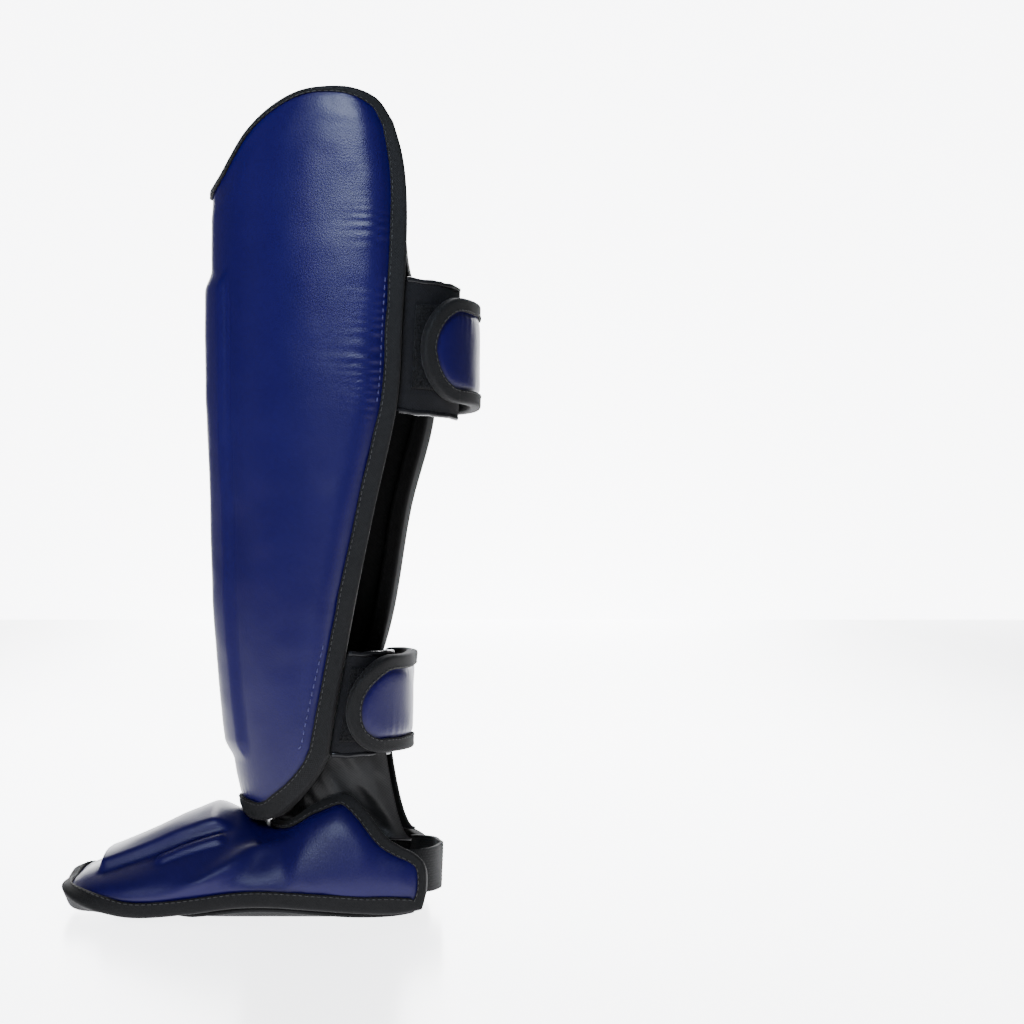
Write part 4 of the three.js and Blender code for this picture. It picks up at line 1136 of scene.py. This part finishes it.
shin_cover = build_cover("shin_cover", shin_panel, shin_pad, ridge_rise, SHIN_RIM, SHIN_PUFF, SHIN_SCALE,
                         ["shin_shell"], SHIN_COVER_SEED)
build_lining("shin_inner_cloth", shin_panel, shin_pad, SHIN_SCALE, ["shin_lining"],
             SHIN_LINING_SEED)
build_tape("shin_edge_tape", shin_panel, shin_pad, SHIN_RIM, SHIN_TAPE_WIDTH, TAPE_GAP, ["shin_binding"],
           SHIN_TAPE_SEED)
sewn_lines = [sewn_line(shin_panel, side, *seam, SHIN_COVER_SEED) for side in (1, -1) for seam in PANEL_SEAMS]
add_stitches("strap_panel_stitches", sewn_lines, THREAD, PANEL_STITCH)


# Foot cover

def plateau_rise(u, v):
    place = foot_surface(u, v)
    side = soft_side(PLATEAU_HALF_WIDTH - np.abs(place[..., 0]), PLATEAU_SOFT)
    toe = soft_side(place[..., 1] - PLATEAU_TOE, PLATEAU_SOFT)
    heel = soft_side(PLATEAU_HEEL - place[..., 1], 2 * PLATEAU_SOFT)
    return PLATEAU_RISE * side * toe * heel


def foot_relief(u, v):
    """The plateau, the bar beside it, the crease and roll in front of the ankle, and the dome over it."""
    x, y, z = np.moveaxis(foot_surface(u, v), -1, 0)
    bar_side = mix(BAR_TOE_SIDE, BAR_HEEL_SIDE, clamp01((y - BAR_TOE) / (BAR_HEEL - BAR_TOE)))
    bar = soft_band(np.abs(x) - bar_side, BAR_HALF_WIDTH, BAR_SOFT)
    bar = bar * soft_band(y - (BAR_TOE + BAR_HEEL) / 2, (BAR_HEEL - BAR_TOE) / 2, BAR_SOFT_END)
    round_share = np.abs(u)
    flank = ease((round_share - FLANK_START) / FLANK_FADE)
    crease = np.exp(-((y - CREASE_Y) / CREASE_WIDTH) ** 2)
    crease = crease * (flank * (1 - ease((round_share - FLANK_END) / FLANK_FADE)))
    roll_line = ROLL_Y + ROLL_LEAN * (z - ROLL_Z)
    roll = np.exp(-((y - roll_line) / ROLL_WIDTH) ** 2)
    roll = roll * soft_band(z - ROLL_MIDDLE_Z, ROLL_HALF_HEIGHT, ROLL_SOFT) * flank
    from_dome = np.hypot(y - DOME_Y, DOME_SQUASH * (z - DOME_Z))
    dome = soft_band(from_dome, DOME_RADIUS, DOME_SOFT) * ease((round_share - DOME_START) / FLANK_FADE)
    return plateau_rise(u, v) + BAR_RISE * bar - CREASE_DEPTH * crease + ROLL_RISE * roll + DOME_RISE * dome


foot_panel = Panel(
    foot_surface,
    [whole_end(FOOT_TOE_EDGE, FOOT_SCALE), side_points(FOOT_SIDE_EDGE, FOOT_SCALE),
     whole_end(FOOT_BACK_EDGE, FOOT_SCALE, FAR_FLAP_EDGE), side_points(FOOT_SIDE_EDGE, FOOT_SCALE, True)],
    FOOT_SCALE, FOOT_GRID, foot_gathers,
)
foot_panel.measure(FOOT_TAPE_WIDTH)
foot_cover = build_cover("foot_cover", foot_panel, foot_pad, foot_relief, FOOT_RIM, FOOT_PUFF, FOOT_SCALE,
                         ["foot_shell"], FOOT_COVER_SEED)
build_lining("foot_inner_cloth", foot_panel, foot_pad, FOOT_SCALE, ["foot_lining"],
             FOOT_LINING_SEED)
build_tape("foot_edge_tape", foot_panel, foot_pad, FOOT_RIM, FOOT_TAPE_WIDTH, FOOT_WEB_GAP, ["foot_binding"],
           FOOT_TAPE_SEED)


# Closing straps

def wing_end(side, z):
    """Middle of the bound edge of a wing at a height, and the direction in which the wing ends."""
    v = (z - SHIN_LOW) / SHIN_HEIGHT
    side = np.broadcast_to(side, v.shape).astype(float)
    depth = shin_pad(side, v) + (LAYER_GAP + LINING - SHIN_RIM) / 2
    across, _ = slopes(shin_surface, side, v)
    direction = across * side[..., None]
    direction[..., 2] = 0
    direction = unit(direction)
    point = under(shin_surface, side, v, depth) + direction * (TAPE_GAP + TAPE + GAP)
    point[..., 2] = z
    return point, direction


def loop_path(start, direction, rear, share):
    end = np.zeros_like(start)
    end[..., 1] = rear
    end[..., 2] = start[..., 2]
    pull = np.linalg.norm(end - start, axis=-1, keepdims=True) * LOOP_PULL
    end_pull = np.zeros_like(start)
    end_pull[..., 0] = -np.sign(start[..., 0]) * pull[..., 0]
    return curve_between(start, direction * pull, end, end_pull, 1 - share[..., None])


def loop_point(strap, s, z):
    side = np.where(s < 0, -1.0, 1.0)
    start, direction = wing_end(side, z)
    return loop_path(start, direction, strap["rear"], np.abs(s))


def loop_offset(strap, s, z, distance):
    s, z, distance = as_arrays(s, z, distance)
    ahead = loop_point(strap, np.maximum(s - STEP, -1), z) - loop_point(strap, np.minimum(s + STEP, 1), z)
    normal = unit(np.stack([ahead[..., 1], -ahead[..., 0], np.zeros_like(s)], -1))
    return loop_point(strap, s, z) + normal * distance[..., None]


def even_grid(cells):
    columns, rows = cells
    return np.meshgrid(np.linspace(0, 1, columns + 1), np.linspace(0, 1, rows + 1), indexing="ij")


def build_piping(strap):
    """Glossy rolled edges along the top and bottom of a closing panel."""
    name = strap["name"]
    s = np.linspace(PIPING_START, strap["panel_end"] + PIPING_END, PIPING_STEPS)
    turns = np.linspace(0, 2 * math.pi, PIPING_CORNERS + 1)[:-1]
    waver = line_swells(s * PIPING_SPAN, PIPING_WAVER, PIPING_SEED)
    swell = line_swells(s * PIPING_SPAN, PIPING_SWELL, PIPING_SEED + 1)
    for level, z in (("low", strap["panel_low"]), ("top", strap["panel_high"])):
        height = z - strap["panel_tilt"] * (1 - s) / (1 - strap["panel_end"]) + waver
        middle = loop_offset(strap, s, height, PIPING_LIFT)
        outer = unit(loop_offset(strap, s, height, 1.0) - loop_offset(strap, s, height, 0.0))
        up = np.broadcast_to(np.array([0.0, 0.0, 1.0]), outer.shape)
        radius = PIPING_RADIUS * (1 + swell)[:, None, None]
        ring = np.cos(turns)[None, :, None] * outer[:, None] + np.sin(turns)[None, :, None] * up[:, None]
        points, faces = swept_solid(middle[:, None] + radius * ring, closed=False)
        add_piece(f"{name}_strap_piping_{level}", points, faces, VINYL)


def build_loop_panel(strap):
    """Cloth panel sewn to the near wing, with a turned border round its fuzzy patch."""
    name = strap["name"]
    low, high = strap["panel_low"], strap["panel_high"]
    u, v = even_grid(PANEL_GRID)
    s = mix(1, strap["panel_end"], u)
    z = mix(low, high, v) - strap["panel_tilt"] * u
    ends = loop_point(strap, np.array([PANEL_MEASURE_START, strap["panel_end"]]), np.array([low, low], float))
    length = np.linalg.norm(ends[0] - ends[1])
    from_edge = np.minimum(v, 1 - v) * (high - low)
    border = 1 - ease((from_edge - strap["pile_inset"] + PANEL_BORDER_OVERLAP) / PANEL_BORDER_SOFT)
    ripple = swells(np.stack([u * length, z], -1), PANEL_RIPPLE, PANEL_SEED)
    lift = PANEL_THICK / 2 + PANEL_BORDER_RISE * border + ripple * ease(from_edge / PANEL_EDGE_FADE)
    face = loop_offset(strap, s, z, lift)
    back = loop_offset(strap, s, z, -PANEL_THICK / 2)
    panel = add_layered(f"{name}_strap_panel", face, back, BLACK_CLOTH,
                        [f"{name}_loop_panel"], u * length, z)
    build_piping(strap)
    build_pile_patch(strap, length)


def build_pile_patch(strap, length):
    """The fuzzy patch that holds a strap, laid on its panel inside the turned border."""
    name, inset = strap["name"], strap["pile_inset"]
    u, v = even_grid(PILE_GRID)
    s = mix(strap["pile_start"], strap["pile_end"], u)
    z = mix(strap["panel_low"] + inset, strap["panel_high"] - inset, v) - strap["panel_tilt"] * (1 - s)
    inside = np.minimum(np.minimum(u, 1 - u) * PILE_SPAN[0], np.minimum(v, 1 - v) * PILE_SPAN[1])
    grain = np.stack([u * PILE_GRAIN[0], z * PILE_GRAIN[1]], -1)
    fuzz = swells(grain, PILE_TUFTS, PANEL_SEED + 1) + swells(grain, PILE_FUZZ, PANEL_SEED + 2)
    base = PANEL_THICK / 2 + GAP
    lift = base + (PILE_THICK + fuzz) * mix(PILE_EDGE_SHARE, 1, puff(inside, PILE_PUFF))
    face = loop_offset(strap, s, z, lift)
    back = loop_offset(strap, s, z, base)
    pile = add_layered(f"{name}_pile_patch", face, back, PILE,
                       [f"{name}_loop_pile"], u * length, z)


def strap_surface(strap):
    lift = PANEL_THICK / 2 + GAP + PILE_THICK + STRAP_CLEARANCE + TAPE + TAPE_GAP + STRAP_THICK
    wing, _ = wing_end(-1, np.array(float(strap["strap_low"])))
    rear = np.array([0, strap["rear"], wing[2]])
    far_end = (TAPE_GAP + TAPE) / np.linalg.norm(wing - rear) - 1

    def surface(u, v):
        u, v = as_arrays(u, v)
        share = (u + 1) / 2
        s = mix(strap["tab_start"], far_end, share)
        z = mix(strap["strap_low"], strap["strap_high"], v) - strap["tilt"] * clamp01(share)
        return loop_offset(strap, s, z, lift)

    return surface


def build_strap(strap):
    """Padded leather strap with a D-shaped free end, bound all round."""
    name, seed = strap["name"], strap["seed"]
    surface = strap_surface(strap)
    height = strap["strap_high"] - strap["strap_low"]
    marks = surface(np.array([-1.0, 0.0, 1.0]), 0.5)
    length = np.linalg.norm(np.diff(marks, axis=0), axis=1).sum()
    scale = (length / 2, height)
    end_round = STRAP_END_ROUND * height / scale[0]
    turn = np.linspace(0, math.pi, STRAP_END_POINTS)
    free = np.stack([-1 + end_round * (1 - np.sin(turn)), 0.5 - 0.5 * np.cos(turn), np.ones_like(turn)], 1)
    size = np.array([*scale, 1.0])
    sides = [
        np.array([[-1 + end_round, 0, 1], [0, 0, 1], [1, 0, 1]]) * size,
        np.array([[1, 0, 1], [1, 0.5, 1], [1, 1, 1]]) * size,
        np.array([[-1 + end_round, 1, 1], [0, 1, 1], [1, 1, 1]]) * size,
        free * size,
    ]
    panel = Panel(surface, sides, scale, STRAP_GRID)
    panel.measure(STRAP_TAPE_WIDTH)
    u, v, distance = panel.u, panel.v, panel.distance
    rise = STRAP_RISE * puff(distance, STRAP_PUFF) * ease(distance / SEAM_FADE)
    gather = puckers(panel.along, distance, seed=seed, **STRAP_GATHER)
    lumps = swells(surface(u, v), STRAP_LUMPS, seed + 3) * ease(distance / STRAP_LUMP_FADE)
    outer = under(surface, u, v, -(rise + gather + lumps))
    inner = under(surface, u, v, STRAP_THICK)
    piece = add_layered(f"{name}_strap_face", outer, inner, BLUE, [f"{name}_strap"],
                        u * scale[0], v * scale[1])
    rim = STRAP_THICK - LAYER_GAP - LINING

    def flat_pad(u, v):
        return np.full(np.shape(u), rim)

    build_tape(f"{name}_strap_tape", panel, flat_pad, rim, STRAP_TAPE_WIDTH, TAPE_GAP,
               [f"{name}_strap_binding"], seed + 7)


for strap in (UPPER, LOWER):
    build_loop_panel(strap)
    build_strap(strap)


# Ankle sleeve and elastics

def build_sleeve():
    liner_depth = LAYER_GAP + LINING + TAPE_GAP + TAPE + GAP
    top_share = (SLEEVE_HIGH - SHIN_LOW) / SHIN_HEIGHT
    middle, side = np.array(0.0), np.array(1.0)
    top_nose = under(shin_surface, middle, top_share, shin_pad(middle, top_share) + liner_depth)[1]
    top_side = under(shin_surface, side, top_share, shin_pad(side, top_share) + liner_depth)[0]
    low_nose = FOOT_TOE + FOOT_LENGTH * FOOT_BACK_EDGE["v"][0] + FOOT_RIM
    low_side = top_side - SLEEVE_WAIST
    turn = math.radians(SLEEVE_WRAP)

    def surface(u, v):
        u, v = as_arrays(u, v)
        angle = mix(-turn, turn, u)
        z = mix(SLEEVE_LOW, SLEEVE_HIGH, v)
        tuck = SLEEVE_TUCK * np.exp(-((z - SLEEVE_TUCK_Z) / SLEEVE_TUCK_SPREAD) ** 2)
        nose = mix(low_nose, top_nose, ease(v)) - tuck
        half_width = mix(low_side, top_side, v * v)
        back = mix(SLEEVE_BACK_LOW, SLEEVE_BACK, np.sqrt(clamp01(v)))
        depth = (back - nose) / (1 - math.cos(turn))
        x = half_width * np.sin(angle)
        y = nose + depth * (1 - np.cos(angle))
        return np.stack([x, y, z], -1)

    u, v = even_grid(SLEEVE_GRID)
    place = surface(u, v)
    x, y, z = np.moveaxis(place, -1, 0)
    slant = np.stack([FOLD_PINCH * y + FOLD_SLANT * z, FOLD_STRETCH * z, FOLD_PINCH * x], -1)
    crease_height, crease_size = SLEEVE_CREASES
    creases = crease_height * (0.5 - np.abs(soft_noise(slant, crease_size, SLEEVE_SEED + 1)))
    folds = swells(slant, SLEEVE_FOLDS, SLEEVE_SEED) + creases
    folds = folds * (ease(np.minimum(v, 1 - v) * FOLD_FADE_UP) * ease(np.minimum(u, 1 - u) * FOLD_FADE_ROUND))
    outer = under(surface, u, v, -folds)
    inner = under(surface, u, v, SLEEVE_THICK - folds)
    width = np.linalg.norm(np.diff(place[:, SLEEVE_MEASURE_ROW], axis=0), axis=1).sum()
    piece = add_layered("ankle_cloth", outer, inner, ANKLE_CLOTH, ["ankle_sleeve"],
                        u * width, v * (SLEEVE_HIGH - SLEEVE_LOW))


def build_heel_strap():
    def flap_end(side, z):
        low = RIM_LIFT * foot_row("rim", 1.0)
        crown = FOOT_CROWN * foot_row("crown", 1.0)
        turn = np.arccos((z - low) / (crown - low)) / (math.pi / 2)
        depth = foot_pad(turn, HEEL_SEWN_SHARE) + LAYER_GAP + LINING + TAPE_GAP + TAPE + 2 * GAP
        point = under(foot_surface, side * turn, np.full_like(turn, HEEL_SEWN_SHARE), depth)
        point[..., 2] = z
        return point

    def surface(u, v):
        u, v = as_arrays(u, v)
        s = mix(1, -1, u)
        side = np.where(s < 0, -1.0, 1.0)
        start = flap_end(side, mix(HEEL_STRAP_LOW, HEEL_STRAP_HIGH, v))
        straight = np.broadcast_to(np.array([0.0, 1.0, 0.0]), start.shape)
        return loop_path(start, straight, HEEL_STRAP_REAR, np.minimum(np.abs(s), 1))

    u, v = even_grid(HEEL_STRAP_GRID)
    place = surface(u, v)
    ribs = HEEL_RIB_DEPTH * np.sin(v * 2 * math.pi * HEEL_RIBS)
    sag = swells(place * np.array([1, 1, HEEL_SAG_STRETCH]), HEEL_STRAP_SAG, HEEL_STRAP_SEED)
    outer = under(surface, u, v, -ribs - sag)
    inner = under(surface, u, v, HEEL_STRAP_THICK + ribs - sag)
    width = np.linalg.norm(np.diff(place[:, HEEL_MEASURE_ROW], axis=0), axis=1).sum()
    piece = add_layered("heel_elastic", outer, inner, ELASTIC, ["heel_strap"],
                        u * width, v * (HEEL_STRAP_HIGH - HEEL_STRAP_LOW))


def build_sole_strap():
    def surface(u, v):
        u, v = as_arrays(u, v)
        across = mix(-1, 1, u)
        y = mix(SOLE_STRAP_FRONT - SOLE_SPREAD, SOLE_STRAP_BACK + SOLE_SPREAD, v)
        rim_underside = RIM_LIFT * foot_row("rim", (y - FOOT_TOE) / FOOT_LENGTH) - TAPE_GAP - TAPE - 2 * GAP
        turn = ease((np.abs(across) - SOLE_FLAT_SHARE) / SOLE_TURN_SHARE)
        lift = turn * np.maximum(rim_underside - SOLE_STRAP_THICK, 0)
        end = np.abs(2 * v - 1) ** SOLE_END_POWER
        half_width = SOLE_STRAP_HALF_WIDTH - SOLE_END_TAPER * end
        height = SOLE_STRAP_THICK + lift + SOLE_END_RISE * end
        return np.stack([half_width * across, y, height], -1)

    u, v = even_grid(SOLE_STRAP_GRID)
    place = surface(u, v)
    ribs = SOLE_RIB_DEPTH * np.sin(v * 2 * math.pi * SOLE_RIBS)
    outer = under(surface, u, v, -ribs)
    inner = under(surface, u, v, SOLE_STRAP_THICK)
    piece = add_layered("sole_elastic", outer, inner, ELASTIC, ["sole_strap"],
                        place[..., 0], place[..., 1])


build_sleeve()
build_heel_strap()
build_sole_strap()


# Studio

def glowing_material(name, roughness, glow, glow_ends=None):
    """Pale paint with its own glow, which may fade out along X between two places in metres."""
    material, tree, shader = new_material(name, STUDIO_PAINT, roughness, {
        "Emission Color": (*STUDIO_WHITE, 1), "Emission Strength": glow})
    if glow_ends:
        place = node(tree, "ShaderNodeTexCoord", -800, 0)
        parts = node(tree, "ShaderNodeSeparateXYZ", -600, 0, {"Vector": place.outputs["Object"]})
        sideways = math_node(tree, "ABSOLUTE", parts.outputs["Y"], None, -500, -200)
        fades = []
        for from_place, (near, far) in ((parts.outputs["X"], glow_ends), (sideways, FLOOR_GLOW_SIDE_ENDS)):
            ends = {"Value": from_place, "From Min": near, "From Max": far, "To Min": 1.0, "To Max": 0.0}
            fade = node(tree, "ShaderNodeMapRange", -400, 0, ends, interpolation_type="SMOOTHSTEP")
            fades.append(fade.outputs["Result"])
        both = math_node(tree, "MULTIPLY", *fades, -300, 0)
        feed(tree, shader.inputs["Emission Color"], colour_mix(tree, both, (0, 0, 0), STUDIO_WHITE, -200, 0))
    return material


def add_sheet_of_studio(name, corners, material):
    mesh = bpy.data.meshes.new(name)
    mesh.from_pydata(corners, [], [(0, 1, 2, 3)])
    mesh.materials.append(material)
    piece = bpy.data.objects.new(name, mesh)
    bpy.context.scene.collection.objects.link(piece)


def add_surroundings():
    back, front, side = STUDIO_BACK, STUDIO_FRONT, STUDIO_SIDE
    floor = glowing_material("pale floor", FLOOR_ROUGHNESS, FLOOR_GLOW, FLOOR_GLOW_ENDS)
    corners = [(back, -side, 0), (front, -side, 0), (front, side, 0), (back, side, 0)]
    add_sheet_of_studio("floor", corners, floor)
    wall = glowing_material("pale backdrop", 1.0, BACKDROP_GLOW)
    corners = [(back, BACKDROP_RIGHT, BACKDROP_LOW), (back, BACKDROP_LEFT, BACKDROP_LOW),
               (back, BACKDROP_LEFT, BACKDROP_TOP), (back, BACKDROP_RIGHT, BACKDROP_TOP)]
    add_sheet_of_studio("backdrop", corners, wall)


def add_light(name, place, target, size, power, colour=(1.0, 1.0, 1.0), spread=180):
    light = bpy.data.lights.new(name, "AREA")
    light.shape = "RECTANGLE"
    light.size, light.size_y = size
    light.energy = power
    light.color = colour
    light.spread = math.radians(spread)
    lamp = bpy.data.objects.new(name, light)
    lamp.location = place
    aim = np.array(target) - np.array(place)
    lamp.rotation_euler = Vector(aim).to_track_quat("-Z", "Y").to_euler()
    bpy.context.scene.collection.objects.link(lamp)


def add_camera():
    camera = bpy.data.cameras.new("camera")
    camera.lens = CAMERA_LENS
    camera.sensor_width = CAMERA_SENSOR
    viewer = bpy.data.objects.new("camera", camera)
    viewer.location = (np.array(CAMERA_PLACE) + SHIFT) * MM
    viewer.rotation_euler = (math.radians(90), 0, math.radians(90))
    bpy.context.scene.collection.objects.link(viewer)
    bpy.context.scene.camera = viewer


def set_world():
    world = bpy.data.worlds.new("studio")
    bpy.context.scene.world = world
    world.use_nodes = True
    back = world.node_tree.nodes["Background"]
    back.inputs["Color"].default_value = (1, 1, 1, 1)
    back.inputs["Strength"].default_value = WORLD_GLOW


add_surroundings()
add_camera()
set_world()
for light in LIGHTS:
    add_light(**light)
